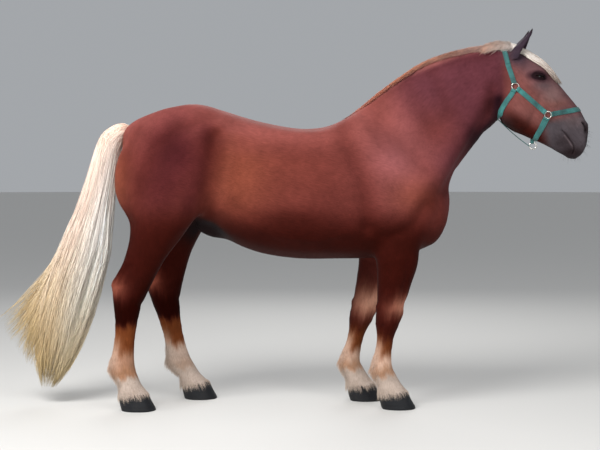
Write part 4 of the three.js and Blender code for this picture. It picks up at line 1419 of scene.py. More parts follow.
def growForelock():
    s = forelockShape
    rng = np.random.default_rng(70)
    n, k = s["locks"], s["points"]
    share, p, q, _ = swathe(rng, s, (0, 0.22), (0.62, 1.0), n)
    # on the near side it lies lower
    p = p - 0.65 * np.clip(-q, 0, 1) * smoothStep(0.15, 0.50, share)
    places = rowPlaces(rowTable(s["rows"], 100), share, p, q)
    places[..., 1] -= 0.012 * smoothStep(0.1, 0.4, share) + 0.024 * smoothStep(0.30, 0.65, share)
    least = np.repeat(0.002 + 0.016 * rng.random(n), k)
    spots, outs = nearestSkin(places.reshape(-1, 3))
    roots, rootOuts = spots.reshape(n, k, 3)[:, 0], outs.reshape(n, k, 3)[:, 0]
    for turn in range(3):
        # lay each lock on the head, then ease its bends
        places = raisedOff(places, least, 0.02)
        if turn < 2:
            middle = (places[:, :-2] + places[:, 1:-1] + places[:, 2:]) / 3
            places = np.concatenate([places[:, :1], middle, places[:, -1:]], 1)
    spines = places.copy()
    spines[:, 0] = roots - rootOuts * 0.003
    fullness = np.interp(np.linspace(0, 1, k), [0, 0.15, 0.7, 1], [0.7, 1, 0.8, 0])
    radii = s["halfWidth"] * rng.uniform(0.6, 1.2, n)[:, None] * fullness
    colours = rampOf(s["colours"], share) * np.clip(rng.normal(1, 0.09, n), 0.7, 1.15)[:, None, None]
    hair = lockPiece("forelock_hair", spines, radii, skinUvAt(roots), np.clip(colours, 0, 0.9), longHair,
                     np.array([0.5, 0.1, 1.0]))
    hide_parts("forelock")


growForelock()
report("forelock")


# eyes

eyeSizes = {
    "cornea": 0.0021,         # how far the clear front stands out
    "iris": (0.0205, 0.0165), # half sizes along and up
    "pupil": (0.0100, 0.0048),
    "segments": (72, 48),
}
eyeTones = {"pupil": "#030304", "iris": "#1d0f0a", "irisRim": "#0c0605", "white": "#1f1513", "corner": "#35201d"}


def eyeMaterial():
    # a wet, dark horse's eye: the tear film gives one sharp highlight over soft brown
    material, tree = newMaterial("wet_cornea_over_iris")
    tone = addNode(tree, "ShaderNodeAttribute", attribute_name="coat")
    finishMaterial(tree, {"Base Color": tone.outputs["Color"], "Roughness": 0.07, "IOR": 1.376,
                          "Specular IOR Level": 0.12, "Coat Weight": 0.15, "Coat Roughness": 0.03})
    return material


def growEye(side, material):
    along, up, out = eyeAxes(side)
    bm = bmesh.new()
    around, upwards = eyeSizes["segments"]
    bmesh.ops.create_uvsphere(bm, u_segments=around, v_segments=upwards, radius=1)
    mesh = bpy.data.meshes.new(f"eyeball_{side}")
    bm.to_mesh(mesh)
    bm.free()
    p = pointsOf(mesh)
    u, v, w = p.T * np.array(lids["globe"])[:, None]
    middle = np.hypot(u / eyeSizes["iris"][0], v / eyeSizes["iris"][1])
    front = w > 0
    w = w + eyeSizes["cornea"] * (1 - np.clip(middle, 0, 1) ** 2) * front
    ripple = 0.5 + 0.5 * np.sin(np.arctan2(v, u) * 34)
    tones = np.tile(toLinear(eyeTones["white"]), (len(p), 1))

    def paint(name, amount):
        nonlocal tones
        tones = tones + (np.clip(amount, 0, 1) * front)[:, None] * (toLinear(eyeTones[name]) - tones)

    paint("corner", smoothStep(0.022, 0.028, np.abs(u)))
    paint("irisRim", smoothStep(1.12, 0.98, middle))
    paint("iris", smoothStep(0.95, 0.75, middle) * (0.75 + 0.25 * ripple))
    paint("pupil", smoothStep(1.12, 0.92, np.hypot(u / eyeSizes["pupil"][0], v / eyeSizes["pupil"][1])))
    setPoints(mesh, eyeCentre[side] + np.outer(u, along) + np.outer(v, up) + np.outer(w, out))
    setColour(mesh, tones)
    smoothFaces(mesh)
    if np.linalg.det(np.stack([along, up, out])) < 0:
        mesh.flip_normals()
    addPiece(f"eyeball_{side}", mesh, material, [f"eye_{side}"])


eyeGloss = eyeMaterial()
for side in sides:
    growEye(side, eyeGloss)
report("eyes")


# hooves: a wall of horn with growth rings, a hollowed sole and a frog

hoofShape = {
    # height, how far ahead of the coronet's middle, length and half width
    "wall": [(0.092, -0.004, 0.120, 0.0515), (0.084, 0.000, 0.141, 0.0610), (0.078, 0.002, 0.151, 0.0665),
             (0.060, 0.008, 0.156, 0.0690), (0.040, 0.014, 0.165, 0.0730), (0.010, 0.027, 0.176, 0.0785),
             (0.003, 0.029, 0.177, 0.0785), (0.000, 0.029, 0.174, 0.0770)],
    "slope": 0.12,            # the coronet drops this much to the heel
    "ringSpacing": 0.0068,
    "ringDepth": 0.00045,
    "around": 120,
    "levels": 46,
    "wallThickness": 0.13,    # as a share of the way in
    "soleHollow": 0.007,
    "sole": [0.93, 0.87, 0.80, 0.66, 0.50, 0.34, 0.18],     # rings of the sole, as shares of the wall's
    "squareness": 2.25,       # 2 is an ellipse
    "toe": 0.117,             # from the coronet's middle to the toe
}


def hoofMaterial():
    # dark keratin, dry and worn: growth rings across, fine tubules down, dusty in patches
    material, tree = newMaterial("hoof_horn_weathered")
    place = addNode(tree, "ShaderNodeTexCoord").outputs["Object"]
    rings = addNode(tree, "ShaderNodeMapping", {"Vector": place, "Scale": (9, 9, 150)})
    tubules = addNode(tree, "ShaderNodeMapping", {"Vector": place, "Scale": (420, 420, 25)})
    bands = addNode(tree, "ShaderNodeTexNoise", {"Vector": rings.outputs[0], "Scale": 1.0, "Detail": 3.0})
    fibres = addNode(tree, "ShaderNodeTexNoise", {"Vector": tubules.outputs[0], "Scale": 1.0, "Detail": 3.0})
    dust = addNode(tree, "ShaderNodeTexNoise", {"Vector": place, "Scale": 26.0, "Detail": 6.0, "Roughness": 0.7})
    level = addNode(tree, "ShaderNodeMath", {0: bands.outputs[0], 1: fibres.outputs[0]}, operation="ADD")
    horn = addNode(tree, "ShaderNodeValToRGB", {0: level.outputs[0]})
    horn.color_ramp.elements[0].position = 0.55
    horn.color_ramp.elements[0].color = linearColour("#050607")
    horn.color_ramp.elements[1].position = 1.0
    horn.color_ramp.elements[1].color = linearColour("#16171b")
    dusty = addNode(tree, "ShaderNodeMapRange", {0: dust.outputs[0], 1: 0.50, 2: 0.72, 3: 0.0, 4: 0.22})
    mixed = addNode(tree, "ShaderNodeMix", {0: dusty.outputs[0], 6: horn.outputs[0], 7: linearColour("#4a4744")},
                    data_type="RGBA")
    rough = addNode(tree, "ShaderNodeMapRange", {0: dust.outputs[0], 1: 0.35, 2: 0.7, 3: 0.40, 4: 0.85})
    relief = addNode(tree, "ShaderNodeBump", {"Height": level.outputs[0], "Strength": 0.8, "Distance": 0.0012})
    finishMaterial(tree, {"Base Color": mixed.outputs[2], "Roughness": rough.outputs[0],
                          "Normal": relief.outputs[0], "IOR": 1.54, "Specular IOR Level": 0.25})
    return material


def growHoof(name, material, seed):
    s = hoofShape
    low, high = (np.array(corner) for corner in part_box(name))
    middle = np.array([high[0] - s["toe"], (low[1] + high[1]) / 2])
    rng = np.random.default_rng(seed)
    waves = rng.uniform(0, 6.28, 6)
    wall = np.array(s["wall"])
    levels = np.interp(np.linspace(0, 1, s["levels"]), np.linspace(0, 1, len(wall)), wall[:, 0])
    angle = np.linspace(0, 2 * math.pi, s["around"], endpoint=False)
    rise, ahead, long, half = (np.interp(levels, wall[::-1, 0], wall[::-1, c])[:, None] for c in range(4))
    c, d = np.cos(angle)[None], np.sin(angle)[None]
    out = 1.0 / (np.abs(c) ** s["squareness"] + np.abs(d) ** s["squareness"]) ** (1 / s["squareness"])
    heel = np.exp(-((angle - math.pi) / 0.16) ** 2)[None]
    bulbs = np.exp(-((np.abs(angle - math.pi) - 0.42) / 0.26) ** 2)[None]
    upper = smoothStep(0.03, 0.075, rise)
    out = out * (1 - heel * (0.05 + 0.06 * upper) + 0.035 * bulbs * upper)
    height = rise / wall[0, 0]
    rings = s["ringDepth"] * np.sin(2 * math.pi * rise / s["ringSpacing"] + 0.8 * np.sin(angle + waves[0]))
    rings = rings * smoothStep(0.0, 0.012, rise) * smoothStep(0.088, 0.078, rise)
    wobble = 0.0009 * (np.sin(3 * angle + waves[1]) + 0.6 * np.sin(7 * angle + waves[2]))[None] * (1 - height)
    chips = 0.0011 * np.clip(np.sin(11 * angle + waves[3]) * np.sin(5 * angle + waves[4]), 0, 1)[None]
    chips = chips * (rise < 0.006)
    along = ahead + (long / 2 * out + rings + wobble - chips) * c
    across = (half * out + rings + wobble - chips) * d
    up = rise + s["slope"] * (along - ahead) * height
    wallPoints = np.stack([middle[0] + along, middle[1] + across, up], -1)
    wallPoints[rise[:, 0] <= 0, :, 2] = 0.0
    # the ground face, from the wall in to the middle
    sole = []
    ground = middle + (ahead[-1, 0], 0)
    for share in s["sole"]:
        ring = wallPoints[-1].copy()
        ring[:, :2] = ground + share * (ring[:, :2] - ground)
        back = (middle[0] + 0.029 - ring[:, 0]) / 0.088         # 1 at the heel
        aside = np.abs(ring[:, 1] - middle[1])
        frog = smoothStep(0.0, 0.012, 0.006 + 0.020 * smoothStep(-0.35, 0.9, back) - aside)
        frog = frog * smoothStep(-0.5, -0.3, back)
        groove = np.exp(-(aside / 0.004) ** 2) * smoothStep(0.2, 0.7, back)
        hollow = s["soleHollow"] * smoothStep(1 - s["wallThickness"] + 0.02, 0.70, share)
        ring[:, 2] = hollow * (1 - 0.8 * frog * (1 - groove))
        sole.append(ring)
    inside = wallPoints[0].copy()
    inside[:, :2] = middle + 0.9 * (inside[:, :2] - middle)
    inside[:, 2] -= 0.004
    grid = np.concatenate([inside[None], wallPoints, np.array(sole)])
    rows, count = grid.shape[:2]
    vertices = np.concatenate([grid.reshape(-1, 3), [[*grid[0].mean(0)], [*grid[-1].mean(0)]]])
    mesh = meshOf(name, vertices, tubeFaces(rows, count))
    smoothFaces(mesh)
    addPiece(f"{name}_horn", mesh, material, [name])


horn = hoofMaterial()
hoofNames = [f"hoof_{end}_{side}" for end in ("fore", "hind") for side in sides]
for seed, name in enumerate(hoofNames):
    growHoof(name, horn, 80 + seed)
report("hooves")


# halter: webbing laid on the skin between rings

halterSizes = {
    "width": 0.026,
    "thickness": 0.0026,
    "lift": 0.0012,           # clear of the skin
    "step": 0.0022,
    "wire": 0.0031,
    "ring": 0.018,
    "hold": 0.0125,           # the straps' ends lie this far from a ring's middle
    # the way each strap takes seen from the side, from its ring to past the far edge of the head
    "crown": [(1.1395, 1.7035), (1.1145, 1.7815), (1.0995, 1.862), (1.0955, 1.990)],
    "throat": [(1.1345, 1.6345), (1.1045, 1.5925), (1.0805, 1.5465), (1.0715, 1.500), (1.0635, 1.370)],
    "noseband": [(1.4135, 1.5415), (1.6135, 1.5785)],
    "chin": [(1.2905, 1.4555), (1.2695, 1.4125), (1.2445, 1.3055)],
    "buckleHeight": 1.861,
}


def ringOf(name):
    # middle and direction of a ring's solid, the direction away from the horse
    p = pointsOf(frame["nodes"][name].data)
    centre = p.mean(0)
    out = np.linalg.svd(p - centre, full_matrices=False)[2][2]
    return centre, out * (np.sign(out[1] * centre[1]) or 1)


def isInside(place):
    spot, out, _, _ = skinTree.find_nearest(Vector(place))
    return (Vector(place) - spot).dot(out) < 0


def lengthsAlong(line):
    return np.append(0, np.cumsum(np.linalg.norm(np.diff(line, axis=0), axis=1)))


def wrap(path, core, spread, count=90):
    # where a sheet drawn through the side view's path, straight across the horse, leaves the skin:
    # rays turn from one side, over the far edge, to the other, about a middle core along the path
    path = np.array(path)
    lengths = lengthsAlong(path)
    run = unit(path[1] - path[0])
    places = []
    for turn in np.linspace(-math.radians(spread), math.radians(spread), count):
        low, high = 0.005, 0.30
        for _ in range(16):
            reach = (low + high) / 2
            down = core + reach * math.cos(turn)
            before = min(down, 0)        # the sheet runs straight on before its first point
            ahead, up = (np.interp(down, lengths, path[:, c]) + before * run[c] for c in range(2))
            place = np.array([ahead, reach * math.sin(turn), up])
            if isInside(place):
                low = reach
            else:
                high = reach
        places.append(place)
    return np.array(places)


def evenly(line, step):
    lengths = lengthsAlong(line)
    count = max(int(lengths[-1] / step), 4)
    return np.stack([np.interp(np.linspace(0, lengths[-1], count), lengths, line[:, k]) for k in range(3)], 1)


def smoothLine(line, rounds):
    # eases a line of points or values, in place; its ends stay
    for _ in range(rounds):
        line[1:-1] += 0.5 * ((line[:-2] + line[2:]) / 2 - line[1:-1])
    return line


def layStrap(name, line, replaced=(), widths=None, lift=0.0, outs=None, overRings=True):
    # webbing along a line, bent across to the skin, with rounded edges, its ends folded over the rings' wires
    s = halterSizes
    line = smoothLine(evenly(line, s["step"]), 6)
    share = np.linspace(0, 1, len(line))
    half = np.interp(share, np.linspace(0, 1, len(widths or [1])), widths or [s["width"]])[:, None] / 2
    onSkin = outs is None
    if onSkin:
        outs = unit(smoothLine(nearestSkin(line)[1], 12))
    else:
        outs = np.broadcast_to(outs, line.shape)
    tangents = unit(np.gradient(line, axis=0))
    across = unit(np.cross(tangents, outs))
    thickness = s["thickness"]
    # the section runs along the outer face, round one edge, back under and round the other
    offsets = np.array([-1, -0.97, -0.88, -0.6, -0.3, 0, 0.3, 0.6, 0.88, 0.97, 1,
                               0.97, 0.88, 0.6, 0.3, 0, -0.3, -0.6, -0.88, -0.97])
    heights = thickness * np.array([0.5, 0.86, 1, 1, 1, 1, 1, 1, 1, 0.86, 0.5,
                                    0.14, 0, 0, 0, 0, 0, 0, 0, 0.14])
    offsets = half * offsets[None]
    base = line[:, None] + across[:, None] * offsets[..., None]
    if onSkin:
        flat = base.reshape(-1, 3)
        spots, found = nearestSkin(flat)
        above = ((flat - spots) * found).sum(1)
        rest = (s["lift"] + lift - above).reshape(base.shape[:2])
        rest = rest.mean(1)[:, None] * 0.35 + rest * 0.65
        base = base + outs[:, None] * smoothLine(rest, 4)[..., None]
    if overRings:
        fromEnd = np.minimum(share, 1 - share) * (len(line) - 1) * s["step"]
        hump = smoothStep(0.022, 0.011, fromEnd) * (1 - 0.9 * smoothStep(0.006, 0.0, fromEnd))
        base = base + outs[:, None] * (0.0062 * hump)[:, None, None]
    base = base + outs[:, None] * heights[None, :, None]
    rows, count = base.shape[:2]
    vertices = np.concatenate([base.reshape(-1, 3), [base[0].mean(0)], [base[-1].mean(0)]])
    mesh = meshOf(name, vertices, tubeFaces(rows, count, flipped=True))
    # metres along and across, for the weave
    lengths = lengthsAlong(line)
    flat = np.stack([np.repeat(lengths, count), offsets.ravel()], 1)
    setMap(mesh, "weave", np.concatenate([flat, [[0, 0], [lengths[-1], 0]]]))
    smoothFaces(mesh)
    addPiece(name, mesh, webbing, replaced)


def webbingMaterial():
    # woven nylon, sun-faded: ribs 2 mm apart across the strap, two rows of stitches, a dull sheen
    material, tree = newMaterial("nylon_webbing_woven")
    flat = addNode(tree, "ShaderNodeUVMap", uv_map="weave")
    split = addNode(tree, "ShaderNodeSeparateXYZ", {0: flat.outputs[0]})

    def maths(operation, *values):
        return addNode(tree, "ShaderNodeMath", dict(enumerate(values)), operation=operation).outputs[0]

    along, across = split.outputs[0], split.outputs[1]
    slant = maths("MULTIPLY", maths("ABSOLUTE", across), 0.6)
    rib = maths("SINE", maths("MULTIPLY", maths("ADD", along, slant), 2 * math.pi / 0.0022))
    cord = maths("SINE", maths("MULTIPLY", across, 2 * math.pi / 0.0026))
    weave = maths("ADD", maths("MULTIPLY", rib, 0.5), maths("MULTIPLY", cord, 0.5))
    row = maths("ABSOLUTE", maths("SUBTRACT", maths("ABSOLUTE", across), 0.0095))
    onRow = maths("LESS_THAN", row, 0.0007)
    dash = maths("GREATER_THAN", maths("SINE", maths("MULTIPLY", along, 2 * math.pi / 0.0042)), -0.2)
    stitch = maths("MULTIPLY", onRow, dash)
    place = addNode(tree, "ShaderNodeTexCoord").outputs["Object"]
    fading = addNode(tree, "ShaderNodeTexNoise", {"Vector": place, "Scale": 16.0, "Detail": 4.0})
    tone = addNode(tree, "ShaderNodeValToRGB", {0: fading.outputs[0]})
    tone.color_ramp.elements[0].position = 0.32
    tone.color_ramp.elements[0].color = linearColour("#164a49")
    tone.color_ramp.elements[1].position = 0.72
    tone.color_ramp.elements[1].color = linearColour("#2c7f7b")
    shade = addNode(tree, "ShaderNodeMapRange", {0: weave, 1: -1.0, 2: 1.0, 3: 0.72, 4: 1.12})
    woven = addNode(tree, "ShaderNodeVectorMath", {0: tone.outputs[0], "Scale": shade.outputs[0]},
                    operation="SCALE")
    sewn = addNode(tree, "ShaderNodeMix", {0: stitch, 6: woven.outputs[0], 7: linearColour("#174947")},
                   data_type="RGBA")
    relief = addNode(tree, "ShaderNodeBump", {"Height": weave, "Strength": 0.7, "Distance": 0.0004})
    finishMaterial(tree, {"Base Color": sewn.outputs[2], "Normal": relief.outputs[0], "Roughness": 0.62,
                          "Sheen Weight": 0.15, "IOR": 1.53})
    return material


def steelMaterial():
    # nickel-plated steel, a little scuffed
    material, tree = newMaterial("nickel_plated_steel")
    place = addNode(tree, "ShaderNodeTexCoord").outputs["Object"]
    scuffs = addNode(tree, "ShaderNodeTexNoise", {"Vector": place, "Scale": 260.0, "Detail": 4.0})
    rough = addNode(tree, "ShaderNodeMapRange", {0: scuffs.outputs[0], 1: 0.35, 2: 0.7, 3: 0.16, 4: 0.36})
    finishMaterial(tree, {"Base Color": linearColour("#c9c6bf"), "Roughness": rough.outputs[0], "Metallic": 1.0})
    return material


def layRing(name, material, centre, out, replaced=(), size=None, wire=None, lift=0.0022, power=2.0,
            up=(0, 0, 1), slot="ring_steel"):
    # a closed wire: round at power 2, more nearly a rectangle above it; wire is half its width, two ways
    size, wire = size or (halterSizes["ring"],) * 2, wire or (halterSizes["wire"],) * 2
    ahead = unit(np.cross(out, up))
    up = np.cross(ahead, out)
    turns, sections = 72, 18
    t = np.linspace(0, 2 * math.pi, turns, endpoint=False)
    g = np.linspace(0, 2 * math.pi, sections, endpoint=False)
    swell = (np.abs(np.cos(t)) ** power + np.abs(np.sin(t)) ** power) ** (-1 / power)
    radial = np.cos(t)[:, None] * ahead + np.sin(t)[:, None] * up
    middle = (size[0] * swell * np.cos(t))[:, None] * ahead + (size[1] * swell * np.sin(t))[:, None] * up
    p = (centre + out * lift + middle[:, None] + wire[0] * np.cos(g)[None, :, None] * radial[:, None]
         + wire[1] * np.sin(g)[None, :, None] * out)
    mesh = meshOf(name, p, tubeFaces(turns, sections, ends=False))
    bm = bmesh.new()
    bm.from_mesh(mesh)
    bmesh.ops.recalc_face_normals(bm, faces=bm.faces)
    bm.to_mesh(mesh)
    bm.free()
    setMap(mesh, "weave",
           np.stack([np.repeat(t * sum(size) / 2, sections), np.tile(wire[1] * np.sin(g), turns)], 1))
    smoothFaces(mesh)
    addPiece(name, mesh, material, replaced)


webbing = webbingMaterial()
steel = steelMaterial()
rings = {}
for side in sides:
    for kind in ("cheek", "side"):
        rings[kind, side] = ringOf(f"halter_{kind}_ring_{side}")
        layRing(f"ring_{kind}_{side}", steel, *rings[kind, side], [f"halter_{kind}_ring_{side}"])
chinCentre, _ = ringOf("halter_chin_ring")
layRing("ring_chin", steel, chinCentre, np.array([0.0, -1.0, 0.0]), ["halter_chin_ring"], lift=0.0)


def ringToRing(kind, way, core, spread):
    # from the right ring round the head to the left one
    right, left = rings[kind, "right"][0], rings[kind, "left"][0]
    start = right[[0, 2]]
    middle = wrap([tuple(start), *halterSizes[way]], core, spread)
    inner = halterSizes["hold"]
    clear = np.linalg.norm(middle - right, axis=1) > inner
    clear &= np.linalg.norm(middle - left, axis=1) > inner
    middle = middle[clear]
    ends = [end + (spot - end) * (inner / np.linalg.norm(spot - end))
            for end, spot in ((right, middle[0]), (left, middle[-1]))]
    return np.concatenate([[ends[0]], middle, [ends[1]]])


crownWay = ringToRing("cheek", "crown", 0.13, 138)
layStrap("strap_crown", crownWay, ["halter_crown"])
throatWay = ringToRing("cheek", "throat", 0.11, 132)
layStrap("strap_throat", throatWay, ["halter_throat"])
layStrap("strap_noseband", ringToRing("side", "noseband", 0.10, 125), ["halter_noseband"])
chinWay = ringToRing("side", "chin", 0.09, 128)
layStrap("strap_chin", chinWay, ["halter_chin"], widths=[0.034, 0.030, 0.024, 0.030, 0.034])
for side in sides:
    start, end = rings["cheek", side][0], rings["side", side][0]
    run = unit(end - start) * halterSizes["hold"]
    spots, _ = nearestSkin(np.linspace(start + run, end - run, 40))
    layStrap(f"strap_cheek_{side}", spots, [f"halter_cheek_{side}"])
# the crown buckles at the right of the poll, its end folded back down the strap
half = crownWay[:len(crownWay) // 2]
spot = int(np.argmin(np.abs(half[:, 2] - halterSizes["buckleHeight"])))
buckleOut = nearestSkin(half[spot:spot + 1])[1][0]
layRing("buckle_crown", steel, half[spot], buckleOut, size=(0.0165, 0.0125), wire=(0.0019, 0.0019), lift=0.0075,
        power=5, up=unit(half[spot + 1] - half[spot - 1]))
reach = lengthsAlong(half)
folded = half[(reach < reach[spot] + 0.004) & (reach > reach[spot] - 0.085)]
layStrap("strap_crown_end", folded, widths=[0.020, 0.024], lift=0.0032, overRings=False)
# the chin ring hangs in a keeper, a narrow band round the chin strap
lowest = chinWay[np.argmin(chinWay[:, 2])][2]
ringTop = chinCentre[2] + halterSizes["ring"]
layRing("keeper_chin", webbing, np.array([chinCentre[0] - 0.004, 0.0, (lowest + ringTop) / 2]),
        np.array([1.0, 0.0, 0.0]), size=(0.0052, (lowest - ringTop) / 2 + 0.0065), wire=(0.0013, 0.009), lift=0.0,
        power=3, slot="halter_webbing")
# a strap under the jaw ties the throat strap to the chin ring
start = throatWay[np.argmin(throatWay[:, 2])] + (0.004, 0, -0.004)
end = chinCentre - (halterSizes["ring"] - 0.002, 0, 0.003)
t = np.linspace(0, 1, 40)[:, None]
jawWay = start + (end - start) * t - np.array([0, 0, 0.007]) * np.sin(math.pi * t)
run = unit(end - start)
layStrap("strap_jaw", jawWay, ["halter_jaw"], widths=[0.018], outs=np.array([run[2], 0.0, -run[0]]),
         overRings=False)
report("halter")


# short hair where it breaks the form, and the longer hair of legs, ears, eyes and lips

x, y, z = points.T
nx, _, nz = skinNormals.T
onHead = smoothStep(1.06, 1.14, x)
onEar = earShare(points)
face = onHead * (1 - onEar)
clearOfEyes = np.ones(len(points))
for side in sides:
    clearOfEyes *= smoothStep(0.030, 0.045, np.linalg.norm(points - eyeCentre[side], axis=1))
legs = {name: onLeg(points, name) for name in legNames}
belowKnee = smoothStep(0.80, 0.70, z)
edge = sum(np.where(belongs > 0.02, smoothStep(55, 15, np.abs(angle)) + smoothStep(125, 165, np.abs(angle)), 0)
           for angle, _, belongs in legs.values())
breast = smoothStep(0.6, 0.95, nx) * smoothStep(0.4, 0.6, x)
buttocks = smoothStep(0.5, 0.9, -nx) * smoothStep(-0.5, -0.6, x)
faceEdges = 0.15 + smoothStep(0.3, 0.8, nz) + smoothStep(0.2, 0.7, -nz)
tufts = {
    # density on the skin, locks, seed, length, half width and rise of each piece
    "coat_tufts_top": (smoothStep(0.50, 0.92, nz) * smoothStep(1.2, 1.3, z) * (1 - onHead),
                       7500, 30, 0.0125, 0.00050, 0.08),
    "coat_tufts_under": (smoothStep(0.25, 0.85, -nz) * smoothStep(0.74, 0.82, z),
                         7000, 31, 0.0150, 0.00055, 0.09),
    "coat_tufts_ends": ((breast + buttocks) * (1 - onHead) * smoothStep(0.78, 0.88, z),
                        5500, 32, 0.0125, 0.00050, 0.08),
    "coat_tufts_legs": (belowKnee * (0.25 + edge) * smoothStep(0.085, 0.10, z),
                        7500, 33, 0.0120, 0.00050, 0.10),
    "coat_tufts_head": (face * clearOfEyes * faceEdges * smoothStep(1.33, 1.37, z),
                        4500, 34, 0.0065, 0.00038, 0.08),
    "ear_fringe": (onEar * (0.04 + smoothStep(0.1, 0.8, nx)), 1500, 36, 0.0090, 0.00038, 0.42),
}
for name, settings in tufts.items():
    growTufts(name, *settings)
report("short tufts")

featherShape = {
    # heights of the roots, locks, length, how far they stand out, and the tips' colour
    "fetlock": {"low": 0.120, "high": 0.31, "locks": 4200, "long": 0.042, "out": 0.32, "behind": True},
    "coronet": {"locks": 5800, "long": 0.050, "out": 0.16, "behind": False},
    "tip": "#cdb699",
    "halfWidth": 0.00062,
}


def growFeathers(part, seed):
    s = featherShape[part]
    density = np.zeros(len(points))
    for name, (angle, _, belongs) in legs.items():
        if s["behind"]:
            band = smoothStep(s["low"], s["low"] + 0.02, z) * smoothStep(s["high"], s["high"] - 0.06, z)
            band = band * smoothStep(100, 155, np.abs(angle))
        else:
            # just above the sloping top of the hoof
            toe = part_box("hoof_" + name.replace("leg", ""))[1][0]
            above = z - hoofShape["wall"][0][0] - hoofShape["slope"] * (x - toe + hoofShape["toe"])
            band = smoothStep(0.000, 0.006, above) * smoothStep(0.040, 0.015, above)
        density += np.where(belongs > 0.02, band, 0)
    place, normal, uv, rng = rootsBy(density, s["locks"], seed)
    n, k = len(place), 5
    if s["behind"]:
        way, down = lieOf(place, normal), np.array([0.0, 0.0, -1.0])
        back = np.clip(-normal[:, 0], 0, 1)
    else:
        # over the hoof the hair keeps to the slope of its wall
        level = unit(normal * (1, 1, 0))
        way = down = unit(np.stack([0.30 + 0.27 * level[:, 0], 0.17 * level[:, 1], -np.ones(n)], 1))
        back = np.ones(n)
    long = s["long"] * rng.uniform(0.5, 1.2, n) * (0.3 + 0.7 * back)
    steps = np.linspace(0, 1, k)
    bow = (s["out"] * rng.uniform(0.5, 1.3, n))[:, None] * np.sin(steps[None] * 1.9)
    wave = 0.10 * rng.normal(0, 1, n)[:, None] * steps[None]
    side = np.cross(normal, way)
    down = np.broadcast_to(down, way.shape)
    spines = place[:, None] - normal[:, None] * 0.001 + long[:, None, None] * (
        way[:, None] * (0.75 * steps)[None, :, None] + down[:, None] * (0.30 * steps ** 1.5)[None, :, None]
        + normal[:, None] * (0.75 * bow)[..., None] + side[:, None] * wave[..., None])
    # neighbouring locks draw together towards their tips
    centres = rng.choice(n, n // 14)
    away = np.linalg.norm(place[:, None] - place[None, centres], axis=2)
    mine = centres[np.argmin(away, 1)]
    spines += (0.32 * smoothStep(0.2, 1, steps))[None, :, None] * (spines[mine] - spines)
    spines[..., 2] = np.maximum(spines[..., 2], 0.016)
    if not s["behind"]:
        # the hair lies on the wall, never in it
        ends = spines[:, 1:].reshape(-1, 3)
        least = np.repeat(rng.uniform(0.0008, 0.0035, n), k - 1)
        for i, end in enumerate(ends):
            spot, out, _, _ = hoofTree.find_nearest(Vector(end))
            ends[i] += np.array(out) * max(least[i] - (Vector(end) - spot).dot(out), 0)
        spines[:, 1:] = ends.reshape(n, k - 1, 3)
    fullness = np.interp(steps, [0, 0.6, 1], [1, 0.75, 0])
    radii = featherShape["halfWidth"] * rng.uniform(0.6, 1.2, n)[:, None] * fullness
    # painted light: the locks a little lighter than the skin, against their own shade
    root = coatColour(place, normal) * np.clip(rng.normal(1.12, 0.09, n), 0.8, 1.35)[:, None]
    colours = root[:, None] + (0.25 * steps)[None, :, None] * (toLinear(featherShape["tip"]) - root)[:, None]
    lockPiece(f"feather_{part}", spines, radii, uv, colours, longHair, normal, flat=0.35, smooth=False)


hooves = [bpy.data.objects[f"{name}_horn"].data for name in hoofNames]
hoofPoints = [pointsOf(mesh) for mesh in hooves]
shifts = np.cumsum([0] + [len(p) for p in hoofPoints])
hoofTree = BVHTree.FromPolygons(
    [tuple(p) for p in np.concatenate(hoofPoints)],
    [tuple(v + shift for v in face.vertices) for mesh, shift in zip(hooves, shifts) for face in mesh.polygons])
growFeathers("fetlock", 50)
growFeathers("coronet", 51)
report("feathers")

hairs = {
    "lashes": 64,             # over each eye
    "lash": (0.012, 0.018),   # lengths
    "lashWidth": 0.00034,
    "whiskers": 130,
    "whisker": (0.016, 0.040),
    "whiskerWidth": 0.00026,
    "colour": "#0d0b0c",
}


def growLashes(side, seed):
    # stiff dark lashes off the upper lid, outwards and down
    along, up, out = eyeAxes(side)
    rng = np.random.default_rng(seed)
    n, k = hairs["lashes"], 6
    u = np.linspace(-0.86, 0.86, n) * lids["halfLength"] + rng.normal(0, 0.0004, n)
    v = lids["upper"] * np.clip(1 - (u / lids["halfLength"]) ** 2, 0, 1) ** 0.75 + 0.0007
    wide, tall, deep = lids["globe"]
    w = deep * np.sqrt(1 - (u / wide) ** 2 - (v / tall) ** 2) + lids["thickness"] - 0.001
    root = eyeCentre[side] + np.outer(u, along) + np.outer(v, up) + np.outer(w, out)
    long = rng.uniform(*hairs["lash"], n) * (1 - 0.35 * np.abs(u / lids["halfLength"]))
    fan = (u / lids["halfLength"] * 0.55 + rng.normal(0, 0.10, n))[:, None] * along
    steps = np.linspace(0, 1, k)[None, :, None]
    spines = root[:, None] + long[:, None, None] * (
        steps * (0.86 * out + fan)[:, None] - up * (0.62 * steps - 0.30 * steps ** 2.5))
    radii = hairs["lashWidth"] * np.interp(np.linspace(0, 1, k), [0, 0.6, 1], [1, 0.7, 0]) * np.ones((n, 1))
    lockPiece(f"lashes_{side}", spines, radii, skinUvAt(root), np.tile(toLinear(hairs["colour"]), (n, 1)), longHair,
              up)


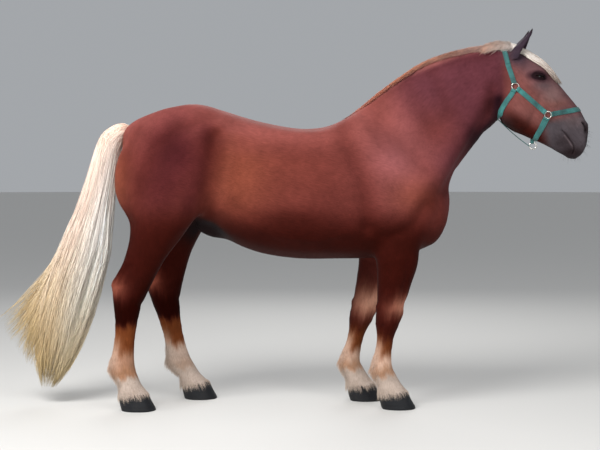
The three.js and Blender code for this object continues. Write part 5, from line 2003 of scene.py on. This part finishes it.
def growWhiskers(seed):
    # long bristles scattered over lips, chin and nostrils
    density = smoothStep(1.42, 1.48, x + 0.4 * (1.42 - z)) * onHead * smoothStep(1.47, 1.43, z)
    place, normal, uv, rng = rootsBy(density, hairs["whiskers"], seed)
    n, k = len(place), 6
    long = rng.uniform(*hairs["whisker"], n)
    steps = np.linspace(0, 1, k)[None, :, None]
    way = unit(0.9 * normal + rng.normal(0, 0.18, (n, 3)) + (0.25, 0, -0.35))
    droop = 0.18 * steps ** 2 * np.array([0.3, 0, 1.0])
    spines = place[:, None] + long[:, None, None] * (steps * way[:, None] - droop)
    radii = hairs["whiskerWidth"] * np.interp(np.linspace(0, 1, k), [0, 0.6, 1], [1, 0.8, 0]) * np.ones((n, 1))
    lockPiece("whiskers", spines, radii, uv, np.tile(toLinear(hairs["colour"]), (n, 1)), longHair, normal)


for seed, side in enumerate(sides):
    growLashes(side, 55 + seed)
growWhiskers(57)
report("lashes and whiskers")


# camera, lights and floor

cameraSizes = {"at": (0.0335, -7.0, 1.237), "tilt": 2.36, "lens": 79.68, "sensor": 36}
camera = newObject("camera", bpy.data.cameras.new("camera"))
camera.data.lens = cameraSizes["lens"]
camera.data.sensor_width = cameraSizes["sensor"]
camera.location = cameraSizes["at"]
camera.rotation_euler = (math.radians(90 - cameraSizes["tilt"]), 0, 0)
bpy.context.scene.camera = camera

softBoxes = {
    # place, size and power of each
    "overhead": ((-2.2, -3.4, 4.6), (3.0, 2.4), 312),
    "front": ((3.2, -4.8, 2.6), (2.4, 2.4), 85),
    "rear": ((-4.6, -2.2, 2.2), (2.0, 2.0), 45),
    "far": ((0.3, 4.8, 3.8), (4.0, 2.4), 70),
}
studio = {"aim": (0.1, 0, 1.1), "sky": "#dfe3e8", "skyLight": 0.50, "floor": "#d9d7d3", "floorRadius": 70}
for name, (place, size, power) in softBoxes.items():
    lamp = bpy.data.lights.new(name, "AREA")
    lamp.shape = "ELLIPSE"
    lamp.size, lamp.size_y = size
    lamp.energy = power
    made = newObject(name, lamp)
    made.location = place
    made.rotation_euler = (Vector(studio["aim"]) - Vector(place)).to_track_quat("-Z", "Y").to_euler()
world = bpy.data.worlds.new("studio")
world.use_nodes = True
sky = world.node_tree.nodes["Background"]
sky.inputs["Color"].default_value = linearColour(studio["sky"])
sky.inputs["Strength"].default_value = studio["skyLight"]
bpy.context.scene.world = world
bpy.context.scene.view_settings.view_transform = "Standard"

floorMesh = bpy.data.meshes.new("floor")
bm = bmesh.new()
bmesh.ops.create_circle(bm, cap_ends=True, segments=96, radius=studio["floorRadius"])
bm.to_mesh(floorMesh)
bm.free()
floor = newObject("floor", floorMesh)
floorMaterial, tree = newMaterial("painted_studio_floor")
finishMaterial(tree, {"Base Color": linearColour(studio["floor"]), "Roughness": 0.7})
floorMesh.materials.append(floorMaterial)
floor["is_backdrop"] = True

low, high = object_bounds()
report("finished")
